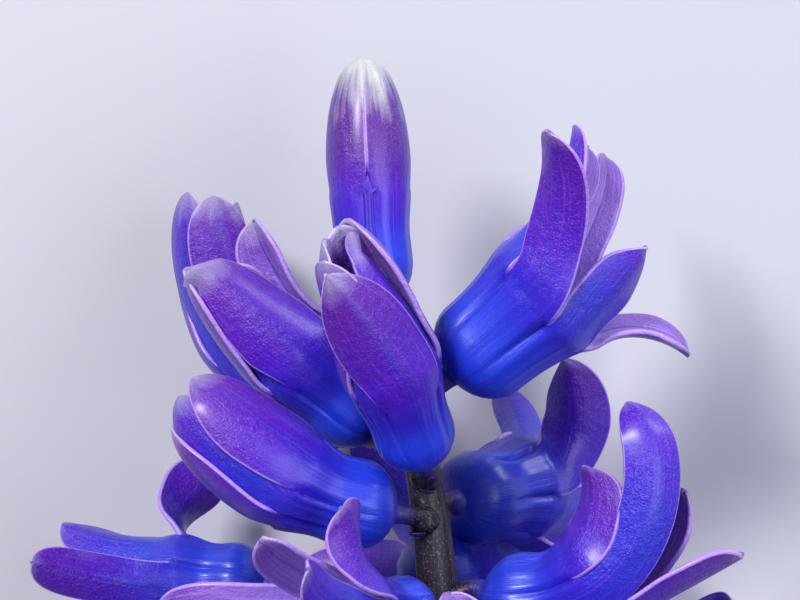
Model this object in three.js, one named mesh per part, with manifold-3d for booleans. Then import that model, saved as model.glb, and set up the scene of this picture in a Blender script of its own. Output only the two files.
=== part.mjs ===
// Hyacinth flower: the cut raceme of a blue-violet hyacinth, lying on its back.
//
// Frame: millimetres, +Z up. The scape runs along Y with the youngest bud at +Y. Each bloom is
// a cup of six tepals that are joined below and free above, with its pistil and stamens inside.
import * as THREE from 'three';
import { mergeVertices } from 'three/addons/utils/BufferGeometryUtils.js';
import Module from 'manifold-3d';

// ---- driving dimensions -------------------------------------------------------------------
const WALL = 0.8;             // thickness of the fleshy tepals
const SEAT_GAP = 0.3;         // clearance between a bloom and the pedicel that carries it
const AXIS_HEIGHT = 33.0;     // height of the scape's axis over the ground, inside the raceme
const CENTRE = [0.21, -60.57];  // middle of the raceme's outline, seen from above
const LAYER_STEP = 0.55;      // how far outer tepals stand out, and inner ones in
const BELLY_END = 0.38;       // where the rounded bottom of the cup ends, of the cup's height
const TEPALS = 6;
const ROOT_INSET = 0.1;       // a lobe's root lies this deep in both faces of the cup's wall
const ROOT_WIDTH = 0.96;      // and is this much narrower than its share of the cup
const TIP_ROW = 1.97;         // where the direction of a tip's face is taken
const CRUMB = 0.02;           // edges left shorter than this by a join are closed up

// Rows along one tepal: over the joined cup, then over the free lobe.
const CUP_ROWS = [0.18, 0.40, 0.70, 1.0];
const LOBE_ROWS = [0.2, 0.5, 0.8];

// ---- the blooms ---------------------------------------------------------------------------
// base: where the cup starts. aim: the way it points. roll: turns tepal 0 from the upper side.
// length, girth: whole length and the cup's radius. cup: the joined share of the length.
// bend: the whole bloom's curve in degrees, and the side it curves to.
// all: the free lobes' spread from the axis, and how much further they curl to the tip.
// some: tepals that differ; sway is sideways lean, long a length factor, wide half the width.
const USUAL = {
  roll: 0, cup: 0.42, waist: 0.08, flare: 0.12, bend: [0, 0], bud: false,
  wide: 4.0, channel: 1.4, open: 1, taper: 3.0, sway: 0, long: 1, some: {},
};
const FLORETS = [
  {
    base: [-2.8, -0.9, 0], aim: [-0.05, 1, -0.02], roll: 58, length: 30.9, girth: 4.5,
    waist: 0.05, flare: 0.03, bud: true, open: 0, wide: 5, all: { spread: -3, curl: -80 },
  },
  {
    base: [2.8, -18.5, 4], aim: [-0.27, 0.79, 0.55], roll: 13, length: 31, girth: 4.6, cup: 0.36,
    waist: 0.03, flare: 0.14, channel: 2.6, open: 0.4, wide: 5, all: { spread: -2, curl: -22 },
    some: {
      0: { spread: -7, curl: -15, sway: -0.29, wide: 5, taper: 1.8, open: 0.7, channel: 3.2 },
      1: { spread: -16, curl: -25, sway: 0.26, long: 1.02, wide: 4.2, open: 0.4, channel: 2.4 },
      2: { spread: 2, curl: -30, sway: 0.34, wide: 5, open: 0.5, channel: 3 },
      3: { spread: 4, curl: -20, sway: -0.07, wide: 4.2 },
      4: { spread: -4, curl: -22, sway: -0.21, wide: 4.6, open: 0.5, channel: 2.6 },
      5: { spread: -4, curl: -10, sway: -0.15, long: 1.01, wide: 4.2, open: 0.4 },
    },
  },
  {
    base: [5.6, -8.7, 3], aim: [0.75, 0.64, 0.15], roll: -10, length: 32.2, girth: 6.2, cup: 0.4,
    waist: 0, flare: 0.2, channel: 1.4, open: 1, wide: 3.8, all: { spread: 30, curl: 50 },
    some: {
      0: { spread: -2, curl: 64, sway: -0.62, long: 0.93, wide: 3.5, channel: 1 },
      1: { spread: -15, curl: -20, sway: 0.08, long: 0.77, wide: 4.5, taper: 2 },
      2: { spread: 24, curl: 58, sway: -0.09, long: 0.73, wide: 3.3 },
      3: { spread: 11, curl: 57, sway: 0.58, long: 0.96, wide: 2.6 },
      4: { spread: -5, curl: 70, sway: -0.17, long: 0.94, wide: 2.6 },
      5: { spread: -13, curl: 51, sway: -0.46, long: 0.86, wide: 3.3 },
    },
  },
  {
    base: [-5.5, -15.5, -11.5], aim: [-0.88, 0.36, -0.3], roll: 30, length: 35, girth: 4.7,
    bend: [50, 60], open: 0.5, all: { spread: 0, curl: -15 },
    some: {
      0: { spread: 11, curl: -15, sway: -0.08, long: 1.01 },
      1: { spread: 0, curl: -15, sway: -0.14, long: 1.02 },
      2: { spread: -2, curl: -15, sway: 0.1, long: 0.97 },
      3: { spread: 5, curl: -15, sway: 0.02, long: 0.99, wide: 3.7 },
      4: { spread: -2, curl: -15, sway: -0.32, long: 1.05 },
      5: { spread: 7, curl: -15, sway: 0.36, long: 1.08 },
    },
  },
  {
    base: [-2.3, -14.9, -3.5], aim: [-0.76, 0.53, 0.27], roll: 9, length: 28.5, girth: 4.9,
    cup: 0.4, bend: [20, 80], channel: 2.4, open: 0.4, wide: 4.4, all: { spread: -4, curl: -20 },
    some: {
      0: { spread: -20, curl: -15, sway: -0.25, long: 1.08, wide: 5.2, open: 0.6, channel: 3 },
      1: { spread: -14, curl: -25, long: 0.82, open: 0.2 },
      2: { spread: 10, curl: 0, sway: 0.08, long: 1.02, wide: 3.8, open: 1, channel: 2.6 },
      3: { spread: -4, curl: -25, long: 0.9 },
      4: { spread: 1, curl: -20, wide: 5, open: 0.3 },
      5: { spread: -9, curl: -20, open: 0.3 },
    },
  },
  {
    base: [-0.6, -24.2, 4.2], aim: [-0.94, 0.17, 0.28], roll: 30, length: 29.6, girth: 5.2,
    cup: 0.4, bend: [34, 80], open: 0, wide: 4.9, taper: 1.7, all: { spread: -3, curl: -50 },
    some: {
      4: { spread: -2, curl: -40, long: 0.84 },
    },
  },
  {
    base: [-15.6, -34, -11], aim: [-0.97, 0.02, -0.22], roll: 0, length: 29, girth: 5.2,
    cup: 0.34, all: { spread: 45, curl: 50 },
    some: {
      0: { spread: 27, curl: 29, sway: 0.18, long: 0.94, wide: 3 },
      1: { spread: -7, curl: 22, sway: 0.15, long: 0.8, wide: 3.3 },
      2: { spread: 95, curl: 10, long: 0.6, wide: 3.6 },
      3: { spread: 40, curl: 45, long: 0.8 },
    },
  },
  {
    base: [2.6, -36, 4.3], aim: [-0.69, 0, 0.73], roll: 61, length: 30, girth: 4.9, cup: 0.29,
    wide: 4.4, all: { spread: 40, curl: 40 },
    some: {
      0: { spread: 53, curl: -10, sway: 0.23, long: 0.62, wide: 3.7 },
      1: { spread: 13, curl: -10, sway: -0.35, long: 0.89, wide: 3.2 },
      2: { spread: 28, curl: 40, sway: -0.05 },
      4: { spread: 46, curl: 40 },
      5: { spread: 10, curl: 21, sway: 0.34, long: 1.04, wide: 3.2 },
    },
  },
  {
    base: [6.4, -23.6, -6.5], aim: [0.62, 0.08, -0.78], roll: -20, length: 30, girth: 5.6,
    cup: 0.38, all: { spread: 45, curl: 40 },
    some: {
      0: { spread: 68, curl: 79, sway: -0.95, long: 0.6, wide: 4.3 },
      1: { spread: -8, curl: 0, sway: 0.28, long: 0.99 },
      3: { spread: 5, curl: 10, long: 0.8 },
      4: { spread: 5, curl: -10, long: 0.85 },
      5: { spread: 26, curl: 0, sway: -0.89, long: 0.73, wide: 2.6 },
    },
  },
  {
    base: [9.6, -33.4, 2], aim: [0.9, -0.2, 0.4], roll: -30, length: 34.6, girth: 5, cup: 0.36,
    bend: [80, -60], all: { spread: 50, curl: 50 },
    some: {
      0: { spread: 0, curl: 17, sway: -0.32, long: 0.63, wide: 3.6 },
      1: { spread: 1, curl: -50, sway: -0.2, long: 1.2, wide: 3.4 },
      2: { spread: 10, curl: 34, sway: 0.13, long: 0.6, wide: 4 },
      3: { spread: -5, curl: -20, long: 0.7 },
      4: { spread: -5, curl: -20, long: 0.7 },
      5: { spread: -5, curl: -20, long: 0.7 },
    },
  },
  {
    base: [3.5, -32, -5], aim: [0.14, 0, -0.99], roll: 22, length: 34.9, girth: 4.7,
    all: { spread: 42, curl: 60 },
    some: {
      0: { spread: 22, curl: 45, long: 0.9 },
      1: { spread: 30, curl: 50 },
      5: { spread: 42, curl: 60, long: 0.98 },
    },
  },
  {
    base: [1.2, -48, -4], aim: [-0.67, -0.48, -0.56], roll: 20, length: 32.4, girth: 4.9,
    all: { spread: 36, curl: 62 },
    some: {
      0: { spread: 20, curl: 50 },
      1: { spread: 13, curl: 40 },
      3: { spread: 20, curl: 50 },
    },
  },
  {
    base: [6.5, -47, 6], aim: [0.22, -0.1, 0.97], roll: 15, length: 33, girth: 4.9,
    all: { spread: 38, curl: 66 },
  },
  {
    base: [10.3, -45.3, -3.9], aim: [0.75, -0.03, -0.65], roll: 25, length: 32, girth: 4.9,
    all: { spread: 36, curl: 60 },
    some: {
      2: { spread: 26, curl: 60 },
    },
  },
  {
    base: [0.2, -56, 1], aim: [-0.95, -0.3, 0.08], roll: 10, length: 34, girth: 5,
    all: { spread: 38, curl: 66 },
    some: {
      3: { spread: 15, curl: 40 },
    },
  },
  {
    base: [11.7, -58, 2.5], aim: [0.87, -0.28, 0.42], roll: 30, length: 34, girth: 5,
    all: { spread: 40, curl: 64 },
  },
  {
    base: [5.9, -62.5, -6], aim: [0.1, -0.27, -0.96], roll: 0, length: 28.6, girth: 4.9,
    all: { spread: 40, curl: 60 },
    some: {
      3: { spread: 34, curl: 60 },
      4: { spread: 34, curl: 60 },
    },
  },
  {
    base: [3.6, -67, 5.2], aim: [-0.55, -0.28, 0.79], roll: 35, length: 34, girth: 5,
    all: { spread: 38, curl: 68 },
    some: {
      2: { spread: 26, curl: 55 },
      3: { spread: 30, curl: 60 },
    },
  },
];

// ---- the scape, bare below the raceme and bowed down to its cut end -------------------------
const SCAPE_LINE = [
  [-2.6, -2.5, 0], [-0.5, -7, 0], [1.5, -12.5, 0], [2.5, -19, 0], [3.6, -26, 0], [4.4, -34, 0],
  [5.3, -43, 0], [6.2, -53, 0], [6.8, -63, 0], [7.0, -74, -1.5], [7.0, -88, -5.4],
  [6.6, -104, -11.8], [6.0, -120, -19.2], [5.0, -136, -26.0], [4.2, -148, -30.16],
];
const SCAPE_RADIUS = [0.9, 3.0];   // under the top bud, and at the cut end
const PEDICEL_RADIUS = [0.95, 1.4];   // at the scape, and under the bloom
const NECK = 1.2;                     // straight end of a pedicel, in line with its bloom

const COLOURS = { tepals: 0x4534b8, heart: 0xc9c3e6, scape: 0x2b2024 };

// ---- small helpers --------------------------------------------------------------------------
const rad = THREE.MathUtils.degToRad;
const clamp = THREE.MathUtils.clamp;
const v3 = (x, y, z) => new THREE.Vector3(x, y, z);
const smooth = (a, b, x) => THREE.MathUtils.smoothstep(x, a, b);

// The cup's radius and height at u, from 0 at the base to 1 at its mouth.
function cupProfile(bloom, u) {
  const tall = bloom.length * bloom.cup;
  if (u < 0.4) {
    const turn = (u / 0.4) * (Math.PI / 2);
    return [bloom.girth * Math.sin(turn), BELLY_END * tall * (1 - Math.cos(turn))];
  }
  const t = (u - 0.4) / 0.6;
  const swell = 1 - (bloom.waist * (1 - Math.cos(2 * Math.PI * t))) / 2 + bloom.flare * t * t;
  return [bloom.girth * swell, tall * (BELLY_END + (1 - BELLY_END) * t)];
}

// How steeply a lobe leans from the bloom's axis at the quarters of its length.
function lobeLean(bloom, lobe) {
  const weight = lobe.curl > 0 ? [0.1, 0.35, 0.7, 1] : [0, 0.08, 0.25, 1];
  const straight = (1 - BELLY_END) * bloom.length * bloom.cup;
  const mouth = Math.atan2(2 * bloom.flare * bloom.girth, straight);
  const lean = [mouth];
  weight.forEach((w, i) => lean.push(rad(lobe.spread * (i ? 1 : 0.6) + lobe.curl * w)));
  return (s) => {
    const i = Math.min(3, Math.floor(s * 4));
    return THREE.MathUtils.lerp(lean[i], lean[i + 1], s * 4 - i);
  };
}

// The midline of a lobe: radius, height and lean at s, by following its lean in short steps.
function lobeMidline(bloom, lobe, s) {
  const lean = lobeLean(bloom, lobe);
  const long = bloom.length * (1 - bloom.cup) * lobe.long;
  const steps = 24;
  let [r, z] = cupProfile(bloom, 1);
  for (let i = 0; i < steps; i++) {
    const a = lean((s * (i + 0.5)) / steps);
    r += (Math.sin(a) * long * s) / steps;
    z += (Math.cos(a) * long * s) / steps;
  }
  return [r, z, lean(s)];
}

function lobeWidth(s, from, wide, taper) {
  const grow = from + (wide - from) * Math.sin((Math.PI / 2) * clamp(s / 0.45, 0, 1));
  return grow * Math.max(0, 1 - clamp((s - 0.45) / 0.55, 0, 1) ** taper) ** 0.6;
}

// Curves the whole bloom to one side, more the further up it goes.
function bent(bloom, p) {
  const [degrees, toward] = bloom.bend;
  if (!degrees) return p;
  const kappa = rad(degrees) / (bloom.length * 0.75);
  const side = v3(Math.cos(rad(toward)), Math.sin(rad(toward)), 0);
  const t = p.dot(side);
  const arm = 1 / kappa - t;
  const turn = Math.max(0, p.z) * kappa;
  const q = p.clone().addScaledVector(side, 1 / kappa - arm * Math.cos(turn) - t);
  q.z = p.z > 0 ? arm * Math.sin(turn) : p.z;
  return q;
}

// A point of tepal k's outer face. u runs 0..1 over the cup and 1..2 over the free lobe, and x
// runs -1..1 across the tepal.
function tepalPoint(bloom, k, u, x) {
  const outer = k % 2 === 0 ? 1 : -1;
  const middle = (k * 2 * Math.PI) / TEPALS;
  if (u <= 1) {
    const [r0, z] = cupProfile(bloom, u);
    const rib = 1 + 0.02 * outer * u * u * Math.cos((x * Math.PI) / 2);
    const r = r0 * (rib - 0.05 * smooth(0.3, 1, u) * Math.abs(x) ** 4);
    const a = middle + (x * Math.PI) / TEPALS;
    return bent(bloom, v3(r * Math.cos(a), r * Math.sin(a), z));
  }
  const s = u - 1;
  const lobe = { ...bloom, ...bloom.all, ...(bloom.some[k] || {}) };
  const [r, z, lean] = lobeMidline(bloom, lobe, s);
  const half = lobeWidth(s, (cupProfile(bloom, 1)[0] * Math.PI) / TEPALS, lobe.wide, lobe.taper);
  const layer = bloom.bud ? 0 : smooth(0, 0.25, s) * LAYER_STEP * outer;
  // wrapped round the bloom's axis, as in a bud
  const a = middle + clamp((half * x) / Math.max(r, 0.25), -1.05, 1.05);
  const rw = r + layer * Math.cos(lean);
  const wrapped = v3(rw * Math.cos(a), rw * Math.sin(a), z - layer * Math.sin(lean));
  // or free, a channel about its own midrib
  const out = v3(Math.cos(middle), Math.sin(middle), 0);
  const along = v3(-Math.sin(middle), Math.cos(middle), 0);
  const normal = out.clone().multiplyScalar(Math.cos(lean)).add(v3(0, 0, -Math.sin(lean)));
  const channel = lobe.channel * smooth(0, 0.3, s) * (half / lobe.wide) * Math.abs(x) ** 1.5;
  const long = bloom.length * (1 - bloom.cup) * lobe.long;
  const veer = Math.atan(1.5 * lobe.sway * Math.sqrt(s));
  const free = out.clone().multiplyScalar(r).setZ(z)
    .addScaledVector(along, half * x * 0.96 * Math.cos(veer) + lobe.sway * long * s ** 1.5)
    .addScaledVector(out, -half * x * 0.96 * Math.sin(veer) * Math.sin(lean))
    .add(v3(0, 0, -half * x * 0.96 * Math.sin(veer) * Math.cos(lean)))
    .addScaledVector(normal, layer - channel);
  return bent(bloom, wrapped.lerp(free, smooth(0, 0.4, s) * lobe.open));
}

// The way the outer face looks at a point of tepal k, from two short steps along it.
function tepalNormal(bloom, k, u, x) {
  const d = 1e-3;
  const u0 = u > 1 ? Math.max(u - d, 1 + 1e-6) : u - d;
  const x0 = clamp(x - d, -1, 1);
  const alongU = tepalPoint(bloom, k, u, x).sub(tepalPoint(bloom, k, u0, x));
  const alongX = tepalPoint(bloom, k, u, clamp(x + d, -1, 1)).sub(tepalPoint(bloom, k, u, x0));
  return alongX.cross(alongU).normalize();
}

// ---- solids joined into one ------------------------------------------------------------------
const wasm = await Module();
wasm.setup();

function toSolid(geometry) {
  const bare = geometry.clone();
  bare.deleteAttribute('normal');
  const merged = mergeVertices(bare, 1e-4);
  return new wasm.Manifold(new wasm.Mesh({
    numProp: 3,
    vertProperties: new Float32Array(merged.attributes.position.array),
    triVerts: new Uint32Array(merged.index.array),
  }));
}

function fromSolid(solid) {
  const mesh = solid.asOriginal().simplify(CRUMB).getMesh();
  const geometry = new THREE.BufferGeometry();
  geometry.setAttribute('position', new THREE.Float32BufferAttribute(mesh.vertProperties, 3));
  geometry.setIndex(Array.from(mesh.triVerts));
  geometry.computeVertexNormals();
  return geometry;
}

// ---- meshes ---------------------------------------------------------------------------------
function closedGeometry(points, faces) {
  const geometry = new THREE.BufferGeometry();
  const flat = points.flatMap((p) => [p.x, p.y, p.z]);
  geometry.setAttribute('position', new THREE.Float32BufferAttribute(flat, 3));
  geometry.setIndex(faces.flat());
  geometry.computeVertexNormals();
  return geometry;
}

// A sheet given by its two faces, cut into the same triangles and joined along the rim.
function thickened(outer, inner, faces, rim) {
  const count = outer.length;
  const all = faces.concat(faces.map(([a, b, c]) => [a + count, c + count, b + count]));
  rim.forEach((a, i) => {
    const b = rim[(i + 1) % rim.length];
    all.push([a, b, b + count], [a, b + count, a + count]);
  });
  return closedGeometry(outer.concat(inner), all);
}

// The joined part of the six tepals: a round-bottomed cup, open at the top.
function cupGeometry(bloom) {
  const cols = 2 * TEPALS;
  const ring = (i, c) => 1 + i * cols + ((c + cols) % cols);
  const outer = [v3(0, 0, 0)];
  const inner = [v3(0, 0, WALL)];
  for (const u of CUP_ROWS) {
    for (let c = 0; c < cols; c++) {
      const k = Math.floor(c / 2);
      // the line where two tepals meet belongs to both
      const at = c % 2 ? [[k, u, 1], [(k + 1) % TEPALS, u, -1]] : [[k, u, 0]];
      const p = tepalPoint(bloom, ...at[0]);
      const n = at.reduce((sum, where) => sum.add(tepalNormal(bloom, ...where)), v3(0, 0, 0)).normalize();
      outer.push(p);
      inner.push(p.clone().addScaledVector(n, -WALL));
    }
  }
  const faces = [];
  const rim = [];
  const last = CUP_ROWS.length - 1;
  for (let c = 0; c < cols; c++) {
    faces.push([0, ring(0, c + 1), ring(0, c)]);
    for (let i = 0; i < last; i++) {
      faces.push([ring(i, c), ring(i, c + 1), ring(i + 1, c + 1)]);
      faces.push([ring(i, c), ring(i + 1, c + 1), ring(i + 1, c)]);
    }
    rim.push(ring(last, c));
  }
  return thickened(outer, inner, faces, rim);
}

// The free lobe of tepal k, rooted inside the wall of the cup.
function lobeGeometry(bloom, k) {
  const rows = [CUP_ROWS.at(-2), 1, ...LOBE_ROWS.map((s) => 1 + s)];
  const outer = [];
  const inner = [];
  for (const u of [...rows, 2]) {
    const rooted = u <= 1;
    for (const x of u === 2 ? [0] : [-1, 0, 1]) {
      const where = [k, u, rooted ? x * ROOT_WIDTH : x];
      const n = tepalNormal(bloom, k, Math.min(u, TIP_ROW), where[2]);
      const p = tepalPoint(bloom, ...where).addScaledVector(n, rooted ? -ROOT_INSET : 0);
      outer.push(p);
      inner.push(p.clone().addScaledVector(n, rooted ? 2 * ROOT_INSET - WALL : -WALL));
    }
  }
  const at = (j, x) => 3 * j + x + 1;
  const top = rows.length - 1;
  const tip = outer.length - 1;
  const faces = [];
  for (const x of [-1, 0]) {
    for (let j = 0; j < top; j++) {
      faces.push([at(j, x), at(j, x + 1), at(j + 1, x + 1)], [at(j, x), at(j + 1, x + 1), at(j + 1, x)]);
    }
    faces.push([at(top, x), at(top, x + 1), tip]);
  }
  const rim = [at(0, 1), at(0, 0)];
  for (let j = 0; j <= top; j++) rim.push(at(j, -1));
  rim.push(tip);
  for (let j = top; j > 0; j--) rim.push(at(j, 1));
  return thickened(outer, inner, faces, rim);
}

// An open bloom: the cup and its six lobes, grown together where they touch.
function shellGeometry(bloom) {
  let solid = toSolid(cupGeometry(bloom));
  for (let k = 0; k < TEPALS; k++) solid = solid.add(toSolid(lobeGeometry(bloom, k)));
  return fromSolid(solid);
}

// A shut bud is one solid: the tepals lie edge to edge up to the tip.
function budGeometry(bloom) {
  const cols = 2 * TEPALS;
  const rows = [...CUP_ROWS, ...LOBE_ROWS.map((s) => 1 + s), 1.94];
  const points = [tepalPoint(bloom, 0, 0, 0)];
  for (const u of rows) {
    for (let c = 0; c < cols; c++) {
      const p = tepalPoint(bloom, Math.floor(c / 2), u, 0);
      const r = Math.hypot(p.x, p.y) * (c % 2 ? 1 - 0.08 * smooth(0.5, 1.4, u) : 1);
      const a = (c * Math.PI) / TEPALS;
      points.push(v3(r * Math.cos(a), r * Math.sin(a), p.z));
    }
  }
  const tip = points.push(tepalPoint(bloom, 0, 2, 0).setX(0).setY(0)) - 1;
  const faces = [];
  const at = (i, c) => 1 + i * cols + (c % cols);
  for (let c = 0; c < cols; c++) {
    faces.push([0, at(0, c + 1), at(0, c)], [tip, at(rows.length - 1, c), at(rows.length - 1, c + 1)]);
    for (let i = 0; i < rows.length - 1; i++) {
      faces.push([at(i, c), at(i, c + 1), at(i + 1, c + 1)], [at(i, c), at(i + 1, c + 1), at(i + 1, c)]);
    }
  }
  return closedGeometry(points, faces);
}

// Pistil and stamens: the ovary, the six anthers round the style as one crown, and the stigma.
function heartGeometry(bloom) {
  const tall = bloom.length * bloom.cup;
  const fat = (bloom.girth - WALL) / 4.0;
  const rows = [   // height, radius at an anther and between two anthers
    [0.06, 1.2, 1.2], [0.26, 1.8, 1.8], [0.45, 0.8, 0.8], [0.70, 2.2, 0.6], [0.92, 1.2, 0.55],
  ];
  const cols = 2 * TEPALS;
  const floor = WALL + SEAT_GAP;
  const points = [v3(0, 0, floor)];
  for (const [h, wide, slim] of rows) {
    for (let c = 0; c < cols; c++) {
      const r = (c % 2 ? slim : wide) * fat;
      const a = (c * Math.PI) / TEPALS;
      points.push(v3(r * Math.cos(a), r * Math.sin(a), floor + h * (tall - floor)));
    }
  }
  const tip = points.push(v3(0, 0, tall)) - 1;
  const faces = [];
  const at = (i, c) => 1 + i * cols + (c % cols);
  for (let c = 0; c < cols; c++) {
    faces.push([0, at(0, c + 1), at(0, c)], [tip, at(rows.length - 1, c), at(rows.length - 1, c + 1)]);
    for (let i = 0; i < rows.length - 1; i++) {
      faces.push([at(i, c), at(i, c + 1), at(i + 1, c + 1)], [at(i, c), at(i + 1, c + 1), at(i + 1, c)]);
    }
  }
  const geometry = closedGeometry(points, faces);
  if (bloom.bend[0]) {
    const position = geometry.attributes.position;
    for (let i = 0; i < position.count; i++) {
      const p = bent(bloom, v3().fromBufferAttribute(position, i));
      position.setXYZ(i, p.x, p.y, p.z);
    }
  }
  return geometry;
}

// A round stalk that follows a line, with its own radius at each end.
function stalkGeometry(line, radii, sides, steps) {
  const curve = new THREE.CatmullRomCurve3(line, false, 'centripetal');
  const frames = curve.computeFrenetFrames(steps);
  const points = [line[0].clone()];
  for (let i = 0; i <= steps; i++) {
    const at = curve.getPointAt(i / steps);
    const r = radii(i / steps);
    for (let c = 0; c < sides; c++) {
      const a = (c * 2 * Math.PI) / sides;
      points.push(at.clone().addScaledVector(frames.normals[i], r * Math.cos(a))
        .addScaledVector(frames.binormals[i], r * Math.sin(a)));
    }
  }
  const end = points.push(line[line.length - 1].clone()) - 1;
  const faces = [];
  const at = (i, c) => 1 + i * sides + (c % sides);
  for (let c = 0; c < sides; c++) {
    faces.push([0, at(0, c + 1), at(0, c)], [end, at(steps, c), at(steps, c + 1)]);
    for (let i = 0; i < steps; i++) {
      faces.push([at(i, c), at(i, c + 1), at(i + 1, c + 1)], [at(i, c), at(i + 1, c + 1), at(i + 1, c)]);
    }
  }
  return closedGeometry(points, faces);
}

// The scape, with a pedicel out to the foot of every bloom.
function scapeGeometry(blooms) {
  const line = SCAPE_LINE.map((p) => v3(...p));
  const curve = new THREE.CatmullRomCurve3(line, false, 'centripetal');
  const radius = (t) => THREE.MathUtils.lerp(...SCAPE_RADIUS, Math.min(1, t * 2.6) ** 0.6);
  let solid = toSolid(stalkGeometry(line, radius, 10, 26));
  for (const bloom of blooms) {
    const end = bloom.foot;
    let best = 0;
    for (let i = 0; i <= 400; i++) {
      const reach = curve.getPointAt(i / 400).distanceTo(end);
      if (reach < curve.getPointAt(best).distanceTo(end)) best = i / 400;
    }
    const root = curve.getPointAt(Math.min(1, best + 0.012));
    const neck = end.clone().addScaledVector(bloom.axis, -NECK);
    const thickness = (t) => THREE.MathUtils.lerp(...PEDICEL_RADIUS, t * t);
    solid = solid.add(toSolid(stalkGeometry([root, neck, end], thickness, 6, 4)));
  }
  return fromSolid(solid);
}

// ---- assembly ---------------------------------------------------------------------------------
const group = new THREE.Group();
group.position.set(-CENTRE[0], -CENTRE[1], AXIS_HEIGHT);

const finish = (name, roughness) => new THREE.MeshStandardMaterial({
  name, color: COLOURS[name], roughness, metalness: 0,
});
const blooms = FLORETS.map((given) => {
  const bloom = { ...USUAL, ...given };
  bloom.axis = v3(...bloom.aim).normalize();
  bloom.seat = v3(...bloom.base);
  bloom.foot = bloom.seat.clone().addScaledVector(bloom.axis, -SEAT_GAP);
  return bloom;
});

blooms.forEach((bloom, i) => {
  const number = String(i + 1).padStart(2, '0');
  const up = Math.abs(bloom.axis.z) > 0.98 ? v3(0, 1, 0) : v3(0, 0, 1);
  const e1 = up.addScaledVector(bloom.axis, -up.dot(bloom.axis)).normalize();
  const e2 = bloom.axis.clone().cross(e1);
  const roll = rad(bloom.roll);
  const f1 = e1.clone().multiplyScalar(Math.cos(roll)).addScaledVector(e2, Math.sin(roll));
  const turn = new THREE.Matrix4().makeBasis(f1, bloom.axis.clone().cross(f1), bloom.axis);
  const place = (mesh) => {
    mesh.position.copy(bloom.seat);
    mesh.quaternion.setFromRotationMatrix(turn);
    group.add(mesh);
  };
  const shape = bloom.bud ? budGeometry(bloom) : shellGeometry(bloom);
  const petals = new THREE.Mesh(shape, finish('tepals', 0.5));
  petals.name = `floret_${number}`;
  place(petals);
  if (!bloom.bud) {
    const heart = new THREE.Mesh(heartGeometry(bloom), finish('heart', 0.6));
    heart.name = `heart_${number}`;
    place(heart);
  }
});

const scape = new THREE.Mesh(scapeGeometry(blooms), finish('scape', 0.6));
scape.name = 'scape';
group.add(scape);

export default group;
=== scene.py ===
"""The looks of a cut hyacinth raceme that lies on its back.

Millimetres are used for every size of the plant, and turned into metres when a mesh is made.
The raceme's own frame has its top florets round the origin, +Y along the scape towards the
youngest bud and +Z up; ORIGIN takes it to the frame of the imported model.
"""

import logging
from dataclasses import dataclass, field, replace
from enum import Enum
from typing import Iterable, Sequence

import bpy
import numpy as np
from mathutils import Matrix


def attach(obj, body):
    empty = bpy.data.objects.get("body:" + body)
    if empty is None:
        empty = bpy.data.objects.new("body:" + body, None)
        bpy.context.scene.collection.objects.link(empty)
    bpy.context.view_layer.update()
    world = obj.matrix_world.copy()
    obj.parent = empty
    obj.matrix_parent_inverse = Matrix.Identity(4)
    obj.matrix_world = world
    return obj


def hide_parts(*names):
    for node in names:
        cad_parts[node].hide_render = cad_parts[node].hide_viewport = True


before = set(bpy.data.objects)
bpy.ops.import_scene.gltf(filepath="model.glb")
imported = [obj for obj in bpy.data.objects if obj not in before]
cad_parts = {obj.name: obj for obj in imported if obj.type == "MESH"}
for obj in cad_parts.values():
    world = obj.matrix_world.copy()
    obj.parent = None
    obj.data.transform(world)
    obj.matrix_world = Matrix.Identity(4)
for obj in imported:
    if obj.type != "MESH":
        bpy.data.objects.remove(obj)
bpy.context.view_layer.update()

MM = 0.001
ORIGIN = np.array([-0.21, 60.57, 33.0])  # the raceme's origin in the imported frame, mm
TEPALS = 6
SECTOR = np.pi / TEPALS  # half the angle that one tepal takes of the cup
BELLY_ROWS = 0.4  # where the cup's rounded bottom ends, as a share of its rows
BELLY_END = 0.38  # the same place, as a share of its height
LAYER_STEP = 0.55  # how far outer tepals stand out and inner ones in, mm
SEAT_GAP = 0.3  # clearance between a bloom and its pedicel, mm
LAST_ROW = 0.997  # where a lobe's last row of points stands, as a share of its length
TIP_RADIUS = 0.15  # a bud's lobes end where they come this near to its axis, mm
CURL_OUT = (0.1, 0.35, 0.7, 1.0)  # share of an outward curl at each quarter of a lobe
CURL_IN = (0.0, 0.08, 0.25, 1.0)  # share of an inward curl there
SHUT_LAP = 1.03  # the most that a bud's lobe reaches round the axis to each side, radians
OPEN_LAP = 1.05  # the same for the other florets
BLUNT_FROM = 2.5  # a lobe with a taper over this has a blunt tip
SKIN_CELLS = 5200.0  # cells of a tepal's skin in a metre
STALK_CELLS = 4200.0  # cells of the stalk's skin in a metre

Grid = np.ndarray
Place = tuple[float, float, float]
Colour = tuple[float, float, float]

log = logging.getLogger("hyacinth")


# ---- small formulas ---------------------------------------------------------------------------
def smooth(low: float, high: float, x: Grid | float) -> Grid:
    """Smoothstep: 0 below low, 1 above high, and 3t^2 - 2t^3 between them."""
    t = np.clip((np.asarray(x, float) - low) / (high - low), 0.0, 1.0)
    return t * t * (3.0 - 2.0 * t)


def unit(v: Sequence[float]) -> Grid:
    """A vector scaled to length one."""
    v = np.asarray(v, float)
    return v / np.linalg.norm(v)


def spoke(angle: float) -> tuple[Grid, Grid]:
    """The unit vectors outwards and round the z axis at an angle."""
    return np.array([np.cos(angle), np.sin(angle), 0.0]), np.array([-np.sin(angle), np.cos(angle), 0.0])


def round_points(radius: Grid, angle: Grid, height: Grid) -> Grid:
    """Points at a radius and an angle round the z axis, and at a height on it."""
    return np.stack(np.broadcast_arrays(radius * np.cos(angle), radius * np.sin(angle), height), axis=-1)


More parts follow.
